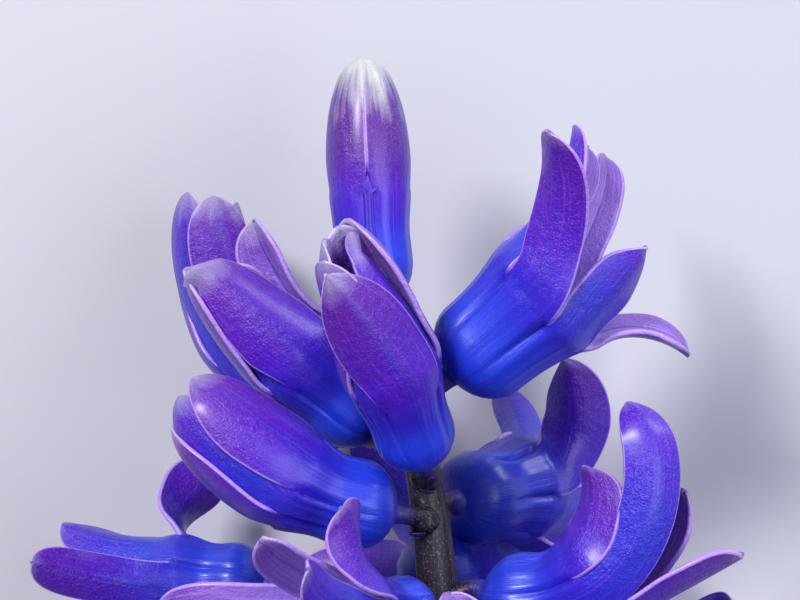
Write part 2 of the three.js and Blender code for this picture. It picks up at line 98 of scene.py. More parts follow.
def quads(number: Grid) -> Grid:
    """Four-sided faces between the neighbouring rows and columns of a grid of point numbers."""
    low, high = number[..., :-1, :], number[..., 1:, :]
    return np.stack([low[..., :-1], low[..., 1:], high[..., 1:], high[..., :-1]], axis=-1)


def strip(a: Grid, b: Grid) -> Grid:
    """Four-sided faces between two rows of point numbers."""
    return np.stack([a[1:], b[1:], b[:-1], a[:-1]], axis=-1)


def grid_normals(points: Grid) -> Grid:
    """Unit normals of a grid of points.

    The normal is the cross product of the step across a row and the step to the next row, each
    taken as the central difference of its neighbours.

    Args:
        points: rows x columns x 3.

    Returns:
        Unit normals of the same shape.
    """
    normal = np.cross(np.gradient(points, axis=1), np.gradient(points, axis=0))
    size = np.linalg.norm(normal, axis=-1, keepdims=True)
    return normal / np.maximum(size, 1e-12)


def resampled(line: Grid, count: int) -> Grid:
    """Points at even steps along a smooth curve through a few points.

    The curve is a centripetal Catmull-Rom spline: each span is a cubic whose end tangents come
    from the neighbouring points, with the knots spaced by the square root of the chords.

    Args:
        line: the points that the curve passes through, n x 3.
        count: how many points to return.

    Returns:
        count x 3 points, evenly spaced by length.
    """
    p = np.vstack([2 * line[0] - line[1], line, 2 * line[-1] - line[-2]])
    leg = np.diff(p, axis=0)
    knots = np.maximum(np.linalg.norm(leg, axis=1) ** 0.5, 1e-6)
    t = np.linspace(0, 1, 40, endpoint=False)[:, None]
    spans = []
    for i in range(1, len(p) - 2):
        before, here, after = knots[i - 1], knots[i], knots[i + 1]
        m1 = leg[i - 1] / before - (p[i + 1] - p[i - 1]) / (before + here) + leg[i] / here
        m2 = leg[i] / here - (p[i + 2] - p[i]) / (here + after) + leg[i + 1] / after
        m1, m2 = m1 * here, m2 * here
        a = 2 * p[i] - 2 * p[i + 1] + m1 + m2
        b = -3 * p[i] + 3 * p[i + 1] - 2 * m1 - m2
        spans.append(a * t**3 + b * t**2 + m1 * t + p[i])
    dense = np.vstack(spans + [line[-1:]])
    length = np.concatenate([[0], np.cumsum(np.linalg.norm(np.diff(dense, axis=0), axis=1))])
    even = np.linspace(0, length[-1], count)
    return np.stack([np.interp(even, length, dense[:, i]) for i in range(3)], axis=1)


def swept(line: Grid, radii: Grid, sides: int) -> Grid:
    """A round tube's surface as a grid: a circle carried along a line.

    Each circle lies square to the line, and its first direction is the one before it, made square
    to the line again, so that the tube does not twist.

    Args:
        line: n x 3 centre points.
        radii: the circle's radius at each point.
        sides: points round the circle.

    Returns:
        n x sides x 3 points.
    """
    tangent = np.gradient(line, axis=0)
    tangent /= np.linalg.norm(tangent, axis=1, keepdims=True)
    start = np.cross(tangent[0], [0.31, 0.17, 0.94])  # any direction that no line here follows
    first = [start / np.linalg.norm(start)]
    for t in tangent[1:]:
        square = first[-1] - t * (first[-1] @ t)
        first.append(square / np.linalg.norm(square))
    e1 = np.array(first)
    e2 = np.cross(tangent, e1)
    a = np.linspace(0, 2 * np.pi, sides, endpoint=False)
    ring = np.cos(a)[None, :, None] * e1[:, None] + np.sin(a)[None, :, None] * e2[:, None]
    return line[:, None] + ring * np.asarray(radii)[:, None, None]


def linked(name: str, data: bpy.types.ID) -> bpy.types.Object:
    """Puts a new object in the scene, at the origin.

    Args:
        name: the object's name.
        data: its mesh, light or camera.

    Returns:
        The object.
    """
    piece = bpy.data.objects.new(name, data)
    bpy.context.scene.collection.objects.link(piece)
    return piece


# ---- meshes -----------------------------------------------------------------------------------
@dataclass
class Shell:
    """Points, faces and per-point values that become one mesh object."""

    points: list[Grid] = field(default_factory=list)
    faces: list[Grid] = field(default_factory=list)
    values: dict[str, list[Grid]] = field(default_factory=dict)
    count: int = 0

    def add(self, points: Grid, faces: Iterable[Grid], **values: Grid) -> None:
        """Adds a closed body.

        Args:
            points: n x 3, in millimetres of the raceme's frame.
            faces: arrays of three or four point numbers a row.
            values: one number a point, by attribute name.
        """
        self.points.append(points)
        self.faces += [np.asarray(f, int) + self.count for f in faces]
        for name, value in values.items():
            spread = np.broadcast_to(value, len(points)).astype(np.float32)
            self.values.setdefault(name, []).append(spread)
        self.count += len(points)

    def add_tube(self, rings: Grid, **values: Grid) -> None:
        """Adds a grid of rings as a closed body with a pole at the middle of each end.

        Args:
            rings: rows x columns x 3 points.
            values: numbers by attribute name, of any shape that spreads over rows and columns.
        """
        rows, cols = rings.shape[:2]
        number = np.arange(rows * cols).reshape(rows, cols)
        closed = np.hstack([number, number[:, :1]])
        points = np.vstack([rings.reshape(-1, 3), rings[0].mean(0), rings[-1].mean(0)])
        poles = np.arange(2)[:, None] + np.full(cols, rows * cols)
        start = np.stack([poles[0], closed[0, 1:], closed[0, :-1]], axis=-1)
        end = np.stack([poles[1], closed[-1, :-1], closed[-1, 1:]], axis=-1)
        spread = {}
        for name, value in values.items():
            ends = [np.ravel(value)[:1], np.ravel(value)[-1:]]
            spread[name] = np.concatenate([np.broadcast_to(value, (rows, cols)).ravel(), *ends])
        self.add(points, [quads(closed).reshape(-1, 4), start, end], **spread)

    def lowest(self) -> float:
        """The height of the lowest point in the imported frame, m."""
        return (min(points[:, 2].min() for points in self.points) + ORIGIN[2]) * MM

    def build(self, name: str, material: bpy.types.Material, slot: str) -> bpy.types.Object:
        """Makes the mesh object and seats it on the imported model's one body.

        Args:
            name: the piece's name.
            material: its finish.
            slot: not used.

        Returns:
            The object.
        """
        mesh = bpy.data.meshes.new(name)
        points = (np.vstack(self.points) + ORIGIN) * MM
        faces = [row for block in self.faces for row in block.tolist()]
        mesh.from_pydata(points.tolist(), [], faces)
        for key, blocks in self.values.items():
            layer = mesh.attributes.new(key, "FLOAT", "POINT")
            layer.data.foreach_set("value", np.concatenate(blocks))
        mesh.shade_smooth()
        mesh.validate()
        mesh.materials.append(material)
        piece = linked(name, mesh)
        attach(piece, "root")
        log.info("%s: %d points, %d faces", name, len(mesh.vertices), len(mesh.polygons))
        return piece


# ---- the florets ------------------------------------------------------------------------------
class Stage(Enum):
    """How far a floret has opened, as the ripeness its finish reads."""

    BUD = 0.0
    PARTING = 0.45
    OPEN = 1.0


@dataclass(frozen=True)
class Lobe:
    """The free part of one tepal.

    spread is its lean from the floret's axis in degrees, and curl what is added to it towards
    the tip. sway leans it sideways, long scales its length, wide is half its width in mm. taper
    shapes the tip, blunt above 2.5 and pointed below it. open goes from 0, wrapped round the
    floret, to 1, free. channel is how far the margins stand in, in mm, and twist turns the tip
    about the midrib, in degrees. None takes the floret's own value.
    """

    spread: float
    curl: float
    sway: float = 0.0
    long: float = 1.0
    wide: float | None = None
    taper: float | None = None
    open: float | None = None
    channel: float | None = None
    twist: float = 0.0


@dataclass
class Floret:
    """One floret: a cup of six joined tepals, free above, with pistil and stamens inside.

    base is the middle of its foot, aim the way it points, and roll turns tepal 0 round that, in
    degrees. cup is the cup's share of the length and girth its radius in mm. The cup draws in by
    waist and widens by flare, as shares of its radius. bend is how many degrees the axis curves,
    and the side it curves to. usual is every lobe that some doesn't name.
    """

    number: int
    base: Place
    aim: Place
    roll: float
    length: float
    girth: float
    usual: Lobe
    some: dict[int, Lobe] = field(default_factory=dict)
    stage: Stage = Stage.OPEN
    cup: float = 0.42
    waist: float = 0.08
    flare: float = 0.12
    bend: tuple[float, float] = (0.0, 0.0)
    wide: float = 4.0
    channel: float = 1.4
    open: float = 1.0
    taper: float = 3.0
    cup_rows: int = 22
    lobe_rows: int = 36
    columns: int = 17
    steps: int = 96  # short steps that a lobe's midline is followed in
    margin: float = 0.55  # thickness at a lobe's margin, mm
    rib: float = 1.15  # thickness along a lobe's midrib and in the cup, mm
    arc: float = 0.75  # share of the length that the bend's degrees are spread over
    bulge: float = 0.35  # how far a margin is rounded out, as a share of its thickness
    overlap: float = 0.75  # how much wider than its sixth an outer tepal is while shut
    relief: tuple[float, float, float] = (0.02, 0.020, 0.010)  # cup's rib, ridges and waves, of its radius
    groove: tuple[float, float] = (0.05, 0.06)  # broad and narrow part of a cup's groove, of its radius
    groove_width: float = 0.13  # of the narrow part, as a share of half a tepal
    ripples: tuple[float, float] = (0.16, 0.10)  # slow and quick ripple of a margin, mm
    gather: float = 1.35  # power that draws a lobe's rows together at its tip
    thinning: float = 0.45  # how much thinner a lobe is at its tip, as a share

    def __post_init__(self) -> None:
        """Works out the floret's own axes: its aim, and the side that tepal 0 is on."""
        self.axis = unit(self.aim)
        up = np.array([0.0, 1.0, 0.0]) if abs(self.axis[2]) > 0.98 else np.array([0.0, 0.0, 1.0])
        e1 = unit(up - self.axis * (up @ self.axis))
        e2 = np.cross(self.axis, e1)
        roll = np.radians(self.roll)
        side = e1 * np.cos(roll) + e2 * np.sin(roll)
        self.turn = np.stack([side, np.cross(self.axis, side), self.axis])
        self.rng = np.random.default_rng(400 + self.number)

    @property
    def layer(self) -> float:
        """How far outer lobes stand out and inner ones in, mm: less while they are pressed shut."""
        return LAYER_STEP * (0.45 + 0.55 * self.stage.value)

    @property
    def tall(self) -> float:
        """The cup's height in mm."""
        return self.length * self.cup

    def placed(self, local: Grid) -> Grid:
        """Takes points of the floret's own frame, z along its axis, to the raceme's frame."""
        return self.bent(local) @ self.turn + np.asarray(self.base)

    def bent(self, p: Grid) -> Grid:
        """Curves points with the floret: a straight axis becomes an arc of a circle.

        The point's height becomes an angle on the arc, and its distance to the side that the
        floret curves to is kept as a change of the arc's radius.

        Args:
            p: points in the floret's own frame.

        Returns:
            The same points on the curved floret.
        """
        degrees, toward = self.bend
        if not degrees:
            return p
        kappa = np.radians(degrees) / (self.length * self.arc)
        side = spoke(np.radians(toward))[0]
        t = p @ side
        arm = 1 / kappa - t
        turn = np.maximum(0.0, p[..., 2]) * kappa
        q = p + side * (1 / kappa - arm * np.cos(turn) - t)[..., None]
        q[..., 2] = np.where(p[..., 2] > 0, arm * np.sin(turn), p[..., 2])
        return q

    def cup_profile(self, u: Grid) -> tuple[Grid, Grid]:
        """The cup's outline.

        Up to BELLY_ROWS it is a quarter of an ellipse; above, a cylinder with a cosine waist and a
        flare that grows with the square of the height.

        Args:
            u: 0 at the cup's base to 1 at its mouth.

        Returns:
            The radius and the height at u, in mm.
        """
        turn = np.clip(u / BELLY_ROWS, 0, 1) * np.pi / 2
        t = np.clip((u - BELLY_ROWS) / (1 - BELLY_ROWS), 0, 1)
        swell = 1 - self.waist * (1 - np.cos(2 * np.pi * t)) / 2 + self.flare * t * t
        radius = np.where(u < BELLY_ROWS, self.girth * np.sin(turn), self.girth * swell)
        belly = BELLY_END * self.tall * (1 - np.cos(turn))
        height = np.where(u < BELLY_ROWS, belly, self.tall * (BELLY_END + (1 - BELLY_END) * t))
        return radius, height

    def lobe_of(self, k: int) -> Lobe:
        """Lobe k, with the floret's own values where it states none.

        Args:
            k: the tepal's number.

        Returns:
            The lobe, with every value stated.
        """
        lobe = self.some.get(k, self.usual)
        own = [n for n in ("wide", "taper", "open", "channel") if getattr(lobe, n) is None]
        return replace(lobe, **{n: getattr(self, n) for n in own})

    def outward(self, k: int) -> int:
        """1 for an outer tepal and -1 for an inner one."""
        return 1 if k % 2 == 0 else -1

    def share(self, k: int) -> float:
        """Tepal k's share of its sixth of the mouth: while shut, outer tepals lie over the inner ones."""
        return 1 + self.outward(k) * self.overlap * (1 - self.stage.value)

    def midline(self, k: int, s: Grid) -> tuple[Grid, Grid, Grid]:
        """Lobe k's midline.

        The lean is known at the quarters of the length and runs straight between them, and the
        line follows it in short steps from the cup's mouth.

        Args:
            k: the tepal's number.
            s: shares of the lobe's length.

        Returns:
            The radius, the height and the lean from the axis at s.
        """
        lobe = self.lobe_of(k)
        curl = lobe.curl * np.array(CURL_OUT if lobe.curl > 0 else CURL_IN)
        spread = lobe.spread * np.array([0.6, 1.0, 1.0, 1.0])
        mouth = np.arctan2(2 * self.flare * self.girth, (1 - BELLY_END) * self.tall)
        lean = np.concatenate([[mouth], np.radians(spread + curl)])
        quarters = np.linspace(0, 1, 5)
        fine = np.linspace(0, 1, self.steps + 1)
        mid = np.interp((fine[1:] + fine[:-1]) / 2, quarters, lean)
        step = self.length * (1 - self.cup) * lobe.long / self.steps
        r0, z0 = self.cup_profile(np.array(1.0))
        r = r0 + np.concatenate([[0], np.cumsum(np.sin(mid))]) * step
        z = z0 + np.concatenate([[0], np.cumsum(np.cos(mid))]) * step
        return np.interp(s, fine, r), np.interp(s, fine, z), np.interp(s, quarters, lean)

    def reach(self, k: int) -> float:
        """How far a lobe goes before it meets the floret's axis, as a bud's tips do.

        Args:
            k: the tepal's number.

        Returns:
            The share of its length that stays clear.
        """
        fine = np.linspace(0, LAST_ROW, 300)
        meets = np.nonzero(self.midline(k, fine)[0] < TIP_RADIUS)[0]
        return float(fine[meets[0]]) if len(meets) and self.stage is Stage.BUD else LAST_ROW

    def half_width(self, k: int, s: Grid) -> Grid:
        """Half a lobe's width: a sine rise to its widest, then a rounded taper to the tip.

        Args:
            k: the tepal's number.
            s: shares of the lobe's length.

        Returns:
            Half the width at s, in mm.
        """
        lobe = self.lobe_of(k)
        start = self.cup_profile(np.array(1.0))[0] * SECTOR * self.share(k)
        blunt = 0.55 if lobe.taper > BLUNT_FROM else 0.80
        rise = 0.30 if self.stage is Stage.BUD else 0.45
        grow = start + (lobe.wide - start) * np.sin(np.pi / 2 * np.clip(s / rise, 0, 1))
        fall = np.clip((s - 0.45) / 0.55, 0, 1) ** (1.2 * lobe.taper)
        return grow * np.maximum(0, 1 - fall) ** blunt

    def cup_face(self, k: int, u: Grid, x: Grid) -> Grid:
        """The outer face of tepal k inside the joined cup, straight up the cup's profile.

        A low rib runs up its middle, and a groove that deepens towards the mouth marks where it
        meets the next tepal.

        Args:
            k: the tepal's number.
            u: 0 at the cup's base to 1 at its mouth.
            x: -1 at one margin to 1 at the other.

        Returns:
            Points of the grid that u and x span.
        """
        radius, height = self.cup_profile(u)
        rib_high, ridge_high, wave_high = self.relief
        broad, narrow = self.groove
        rib = 1 + rib_high * self.outward(k) * u * u * np.cos(x * np.pi / 2)
        groove = broad * np.abs(x) ** 4 + narrow * np.exp(-(((1 - np.abs(x)) / self.groove_width) ** 2))
        groove = groove * (0.4 + 0.6 * self.stage.value)
        ridges = ridge_high * np.cos(3 * np.pi * x) * smooth(0.15, 0.6, u)
        wave = wave_high * np.sin(5.0 * u + 1.7 * k + self.number) * np.cos(1.5 * x + k)
        r = radius * (rib + ridges + wave - groove * smooth(0.25, 1, u))
        a = k * 2 * SECTOR + x * SECTOR * (1 + (self.share(k) - 1) * smooth(0.0, 0.8, u))
        return round_points(r, a, height)

    def crest(self, lobe: Lobe, half: Grid, s: Grid, x: Grid) -> Grid:
        """How far a free lobe's face stands out of its plane.

        Its margins stand in, as a channel's do, and ripple a little along the length.

        Args:
            lobe: the lobe, with every value stated.
            half: half its width at s.
            s: shares of its length.
            x: -1 at one margin to 1 at the other.

        Returns:
            The height over the plane, in mm.
        """
        channel = lobe.channel * smooth(0, 0.3, s) * (half / lobe.wide) * np.abs(x) ** 1.5
        slow, quick = self.rng.uniform(0, 2 * np.pi, 2)
        high, low = self.ripples
        ripple = high * np.sin(9.0 * s + slow) * x**3 + low * np.sin(15.0 * s + quick) * np.abs(x) ** 3
        return ripple * smooth(0.15, 0.5, s) * lobe.open - channel

    def lobe_face(self, k: int, s: Grid, x: Grid) -> Grid:
        """The outer face of lobe k.

        It is mixed from two shapes: wrapped round the floret's axis, as in a bud, and free, a
        channel about its own midrib.

        Args:
            k: the tepal's number.
            s: shares of the lobe's length.
            x: -1 at one margin to 1 at the other.

        Returns:
            Points of the grid of s and x.
        """
        lobe = self.lobe_of(k)
        r, z, lean = self.midline(k, s)
        half = self.half_width(k, s)
        middle = k * 2 * SECTOR
        layer = smooth(0, 0.25, s) * self.layer * self.outward(k)
        lap = SHUT_LAP if self.stage is Stage.BUD else OPEN_LAP
        a = middle + np.minimum(half / np.maximum(r, 0.1), lap) * x
        wrapped = round_points(r + layer * np.cos(lean), a, z - layer * np.sin(lean))
        out, along = spoke(middle)
        up = np.array([0.0, 0.0, 1.0])
        normal = out * np.cos(lean)[..., None] - up * np.sin(lean)[..., None]
        ahead = out * np.sin(lean)[..., None] + up * np.cos(lean)[..., None]
        veer = np.arctan(1.5 * lobe.sway * np.sqrt(s))[..., None]
        across = along * np.cos(veer) - ahead * np.sin(veer)
        sway = lobe.sway * (self.length * (1 - self.cup) * lobe.long) * s**1.5
        roll = np.radians(lobe.twist) * smooth(0.1, 0.9, s)
        wing, crest = half * x * 0.96, self.crest(lobe, half, s, x)
        free = (out * r[..., None] + up * z[..., None]
                + across * (wing * np.cos(roll) - crest * np.sin(roll))[..., None]
                + along * sway[..., None]
                + normal * (layer + crest * np.cos(roll) + wing * np.sin(roll))[..., None])
        near = (1 - smooth(0.2, 1.2, r)) * (self.stage is not Stage.BUD)
        blend = np.maximum(smooth(0, 0.4, s) * lobe.open, near * smooth(0.5, 0.8, s))[..., None]
        return wrapped * (1 - blend) + free * blend

    def tepal(self, k: int) -> tuple[Grid, Grid, Grid, Grid]:
        """Tepal k as two grids.

        The rows draw together towards the tip. The inner face is the outer one set back by the
        thickness, which is least at the margins and the tip.

        Args:
            k: the tepal's number.

        Returns:
            The outer face, the inner face, and u and x of each grid point. u is 0 to 1 in the
            cup and 1 to 2 in the lobe.
        """
        x = np.sin(np.linspace(-np.pi / 2, np.pi / 2, self.columns))[None, :]
        cup_u = np.linspace(0, 1, self.cup_rows)[:, None]
        s = 1 - (1 - np.linspace(0, 1, self.lobe_rows + 1)[1:, None]) ** self.gather
        s = s * self.reach(k)
        cup = self.cup_face(k, cup_u, x)
        free = self.lobe_face(k, s + 0 * x, x + 0 * s)
        outer = np.concatenate([cup, free])
        u = np.concatenate([cup_u, 1 + s]) + 0 * x
        across = x + 0 * u
        edge = smooth(1.0, 1.12, u) * np.abs(across) ** 2.5
        fat = self.rib * (1 - edge) + self.margin * edge
        tip = 1 - self.thinning * smooth(1.8, 2.0, u)
        inner = outer - grid_normals(outer) * (fat * tip)[..., None]
        inner[0] = [0, 0, self.rib]
        return outer, inner, u, across

    def rim(self, outer: Grid, inner: Grid, centre: Grid) -> Grid:
        """The crest of a lobe's rounded margin.

        It runs midway between the two faces and stands out from the lobe, square to the margin,
        by a share of the thickness. It starts and ends in the cup's mouth without standing out.

        Args:
            outer: the outer face's margin, from the mouth round the tip and back, n x 3.
            inner: the inner face's margin, n x 3.
            centre: a point in the middle of the lobe.

        Returns:
            n x 3 points.
        """
        middle = (outer + inner) / 2
        depth = outer - inner
        out = np.cross(depth, np.gradient(middle, axis=0))
        out /= np.maximum(np.linalg.norm(out, axis=1, keepdims=True), 1e-12)
        out *= np.sign(((middle - centre) * out).sum(1, keepdims=True).sum())
        bulge = np.linalg.norm(depth, axis=1, keepdims=True) * self.bulge
        bulge[[0, -1]] = 0
        return middle + out * bulge

    def add_tepals(self, shell: Shell) -> None:
        """Adds all six tepals as one closed body.

        Neighbours share their points up to the cup's mouth. Above it, a rounded margin joins the
        outer face to the inner one all the way round each lobe.

        Args:
            shell: what the body is added to.
        """
        rows, cols = self.cup_rows + self.lobe_rows, self.columns
        total = TEPALS * rows * cols
        outer, inner, u, x = (np.stack(part) for part in zip(*(self.tepal(k) for k in range(TEPALS))))
        outer, inner, u, x = outer.reshape(-1, 3), inner.reshape(-1, 3), u.ravel(), x.ravel()
        own = np.arange(total).reshape(TEPALS, rows, cols)
        number = own.copy()
        number[:, : self.cup_rows, -1] = np.roll(own, -1, axis=0)[:, : self.cup_rows, 0]
        number[:, 0, :] = 0
        faces = quads(number)
        foot, walls = faces[:, 0].reshape(-1, 4)[:, [0, 2, 3]], faces[:, 1:].reshape(-1, 4)
        seam = number[:, : self.cup_rows, 0].ravel()
        prior = np.roll(own, 1, axis=0)[:, : self.cup_rows, -1].ravel()
        inner[seam] = (inner[seam] + inner[prior]) / 2
        inner[0] = [0, 0, self.rib]
        blocks = [walls, foot, walls[:, ::-1] + total, foot[:, ::-1] + total]
        points, along, across = [outer, inner], [u, u], [x, x]
        ring = [np.repeat(np.arange(TEPALS) % 2, rows * cols)] * 2
        side = [np.zeros(total), np.ones(total)]
        top = self.cup_rows - 1
        start = 2 * total
        for k in range(TEPALS):
            path = np.concatenate([number[k, top:, 0], number[k, -1, 1:], number[k, top:-1, -1][::-1]])
            points.append(self.rim(outer[path], inner[path], outer[number[k, top:, cols // 2]].mean(0)))
            crest = np.arange(len(path)) + start
            start += len(path)
            blocks += [strip(path, crest), strip(crest, path + total)]
            along.append(u[path])
            across.append(np.sign(x[path]))
            ring.append(np.full(len(path), k % 2))
            side.append(np.full(len(path), 0.5))
        used = np.unique(np.concatenate([f.ravel() for f in blocks]))
        new = np.full(start, -1)
        new[used] = np.arange(len(used))
        values = {"along": along, "ring": ring, "across": across, "side": side}
        values = {name: np.concatenate(parts)[used] for name, parts in values.items()}
        values |= {"ripe": self.stage.value, "tone": self.rng.uniform(0, 1)}
        shell.add(self.placed(np.vstack(points)[used]), [new[f] for f in blocks], **values)


FLORETS = (
    Floret(1, (-2.8, -0.9, 0), (-0.05, 1, -0.02), 58, 30.9, 4.5, Lobe(-3, -80), stage=Stage.BUD,
           waist=0.05, flare=0.03, wide=5, open=0),
    Floret(2, (2.8, -18.5, 4), (-0.27, 0.79, 0.55), 13, 31, 4.6, Lobe(-2, -22), stage=Stage.PARTING,
           cup=0.36, waist=0.03, flare=0.14, wide=5, channel=2.6, open=0.4,
           some={0: Lobe(-7, -15, sway=-0.29, wide=5, taper=1.8, open=0.7, channel=3.2),
           1: Lobe(-16, -25, sway=0.26, long=1.02, wide=4.2, open=0.4, channel=2.4),
           2: Lobe(2, -30, sway=0.34, wide=5, open=0.5, channel=3),
           3: Lobe(4, -20, sway=-0.07, wide=4.2),
           4: Lobe(-4, -22, sway=-0.21, wide=4.6, open=0.5, channel=2.6),
           5: Lobe(-4, -10, sway=-0.15, long=1.01, wide=4.2, open=0.4)}),
    Floret(3, (5.6, -8.7, 3), (0.75, 0.64, 0.15), -10, 32.2, 6.2, Lobe(30, 50), cup=0.4, waist=0,
           flare=0.2, wide=3.8, channel=1.4, open=1,
           some={0: Lobe(-2, 64, sway=-0.62, long=0.93, wide=3.5, channel=1, taper=5),
           1: Lobe(-15, -20, sway=0.08, long=0.77, wide=4.5, taper=2),
           2: Lobe(24, 58, sway=-0.09, long=0.73, wide=3.3),
           3: Lobe(11, 57, sway=0.58, long=0.96, wide=2.6),
           4: Lobe(-5, 70, sway=-0.17, long=0.94, wide=2.6),
           5: Lobe(-13, 51, sway=-0.46, long=0.86, wide=3.3)}),
    Floret(4, (-5.5, -15.5, -11.5), (-0.88, 0.36, -0.3), 30, 35, 4.7, Lobe(0, -15), stage=Stage.PARTING,
           open=0.5, bend=(50, 60), some={0: Lobe(11, -15, sway=-0.08, long=1.01),
           1: Lobe(0, -15, sway=-0.14, long=1.02), 2: Lobe(-2, -15, sway=0.1, long=0.97),
           3: Lobe(5, -15, sway=0.02, long=0.99, wide=3.7), 4: Lobe(-2, -15, sway=-0.32, long=1.05),
           5: Lobe(7, -15, sway=0.28, long=1.04)}),
    Floret(5, (-2.3, -14.9, -3.5), (-0.76, 0.53, 0.27), 9, 28.5, 4.9, Lobe(-4, -20), stage=Stage.PARTING,
           cup=0.4, wide=4.4, channel=2.4, open=0.4, bend=(20, 80),
           some={0: Lobe(-20, -15, sway=-0.25, long=1.08, wide=5.2, open=0.6, channel=3),
           1: Lobe(-18, -30, long=0.66, wide=3.4, open=0.1),
           2: Lobe(10, 0, sway=0.08, long=1.02, wide=3.8, open=1, channel=2.6),
           3: Lobe(-4, -25, long=0.9), 4: Lobe(1, -20, wide=5, open=0.3),
           5: Lobe(-16, -20, long=0.86, wide=3.8, open=0.3)}),
    Floret(6, (-0.6, -24.2, 4.2), (-0.94, 0.17, 0.28), 30, 29.6, 5.2, Lobe(-3, -50), stage=Stage.PARTING,
           cup=0.4, wide=4.9, open=0, taper=1.7, bend=(34, 80), some={4: Lobe(-2, -40, long=0.84)}),
    Floret(7, (-15.6, -34, -11), (-0.97, 0.02, -0.22), 0, 29, 5.2, Lobe(45, 50), cup=0.34,
           some={0: Lobe(27, 29, sway=0.18, long=0.94, wide=3),
           1: Lobe(-7, 22, sway=0.15, long=0.8, wide=3.3), 2: Lobe(112, 10, long=0.66, wide=4.2, twist=40),
           3: Lobe(40, 45, long=0.8)}),
    Floret(8, (2.6, -36, 4.3), (-0.69, 0, 0.73), 61, 30, 4.9, Lobe(40, 40), cup=0.29, wide=4.4,
           some={0: Lobe(53, -10, sway=0.23, long=0.57, wide=4.1, twist=75),
           1: Lobe(13, -10, sway=-0.35, long=0.89, wide=3.2), 2: Lobe(28, 40, sway=-0.05),
           4: Lobe(46, 40), 5: Lobe(10, 21, sway=0.34, long=1.04, wide=3.2)}),
    Floret(9, (6.4, -23.6, -6.5), (0.62, 0.08, -0.78), -20, 30, 5.6, Lobe(45, 40), cup=0.38,
           some={0: Lobe(68, 79, sway=-0.95, long=0.6, wide=4.2, taper=1.9, channel=2.6, twist=-60),
           1: Lobe(-8, 0, sway=0.28, long=0.99),
           3: Lobe(5, 10, long=0.8), 4: Lobe(5, -10, long=0.85),
           5: Lobe(26, 0, sway=-0.89, long=0.73, wide=2.6)}),
    Floret(10, (9.6, -33.4, 2), (0.9, -0.2, 0.4), -30, 34.6, 5, Lobe(50, 50), cup=0.36, bend=(80, -60),
           some={0: Lobe(0, 17, sway=-0.32, long=0.63, wide=4.2, taper=4),
           1: Lobe(1, -50, sway=-0.2, long=1.2, wide=3.4), 2: Lobe(10, 34, sway=0.13, long=0.6, wide=4),
           3: Lobe(-5, -20, long=0.7), 4: Lobe(-5, -20, long=0.7), 5: Lobe(-5, -20, long=0.7)}),
    Floret(11, (3.5, -32, -5), (0.14, 0, -0.99), 22, 34.9, 4.7, Lobe(42, 60),
           some={0: Lobe(22, 45, long=0.9), 1: Lobe(30, 50), 5: Lobe(42, 60, long=0.98)}),
    Floret(12, (1.2, -48, -4), (-0.67, -0.48, -0.56), 20, 32.4, 4.9, Lobe(36, 62), some={0: Lobe(20, 50),
           1: Lobe(13, 40), 3: Lobe(20, 50)}),
    Floret(13, (6.5, -47, 6), (0.22, -0.1, 0.97), 15, 33, 4.9, Lobe(38, 66)),
    Floret(14, (10.3, -45.3, -3.9), (0.75, -0.03, -0.65), 25, 32, 4.9, Lobe(36, 60),
           some={2: Lobe(26, 60)}),
    Floret(15, (0.2, -56, 1), (-0.95, -0.3, 0.08), 10, 34, 5, Lobe(38, 66), some={3: Lobe(15, 40)}),
    Floret(16, (11.7, -58, 2.5), (0.87, -0.28, 0.42), 30, 34, 5, Lobe(40, 64)),
    Floret(17, (5.9, -62.5, -6), (0.1, -0.27, -0.96), 0, 28.6, 4.9, Lobe(40, 60), some={3: Lobe(34, 60),
           4: Lobe(34, 60)}),
    Floret(18, (3.6, -67, 5.2), (-0.55, -0.28, 0.79), 35, 34, 5, Lobe(38, 68), some={2: Lobe(26, 55),
           3: Lobe(30, 60)}),
)


# ---- finishes ---------------------------------------------------------------------------------
class Signal:
    """What one node puts out. A sum, difference or product of signals is a node as well."""

    def __init__(self, graph: "Graph", socket: bpy.types.NodeSocket) -> None:
        """Keeps the socket and the graph that it is in."""
        self.graph = graph
        self.socket = socket

    def __add__(self, other: "Signal | float") -> "Signal":
        """This signal and another, added."""
        return self.graph.math("ADD", self, other)

    def __sub__(self, other: "Signal | float") -> "Signal":
        """This signal less another."""
        return self.graph.math("SUBTRACT", self, other)

    def __rsub__(self, other: float) -> "Signal":
        """A number less this signal."""
        return self.graph.math("SUBTRACT", other, self)

    def __mul__(self, other: "Signal | float") -> "Signal":
        """This signal times another."""
        return self.graph.math("MULTIPLY", self, other)

    __radd__ = __add__
    __rmul__ = __mul__

    def span(self, low: float, high: float, to_low: float = 0.0, to_high: float = 1.0) -> "Signal":
        """This signal, taken smoothly from one range to another."""
        ends = {0: self, 1: low, 2: high, 3: to_low, 4: to_high}
        return self.graph.out("ShaderNodeMapRange", ends, interpolation_type="SMOOTHSTEP")


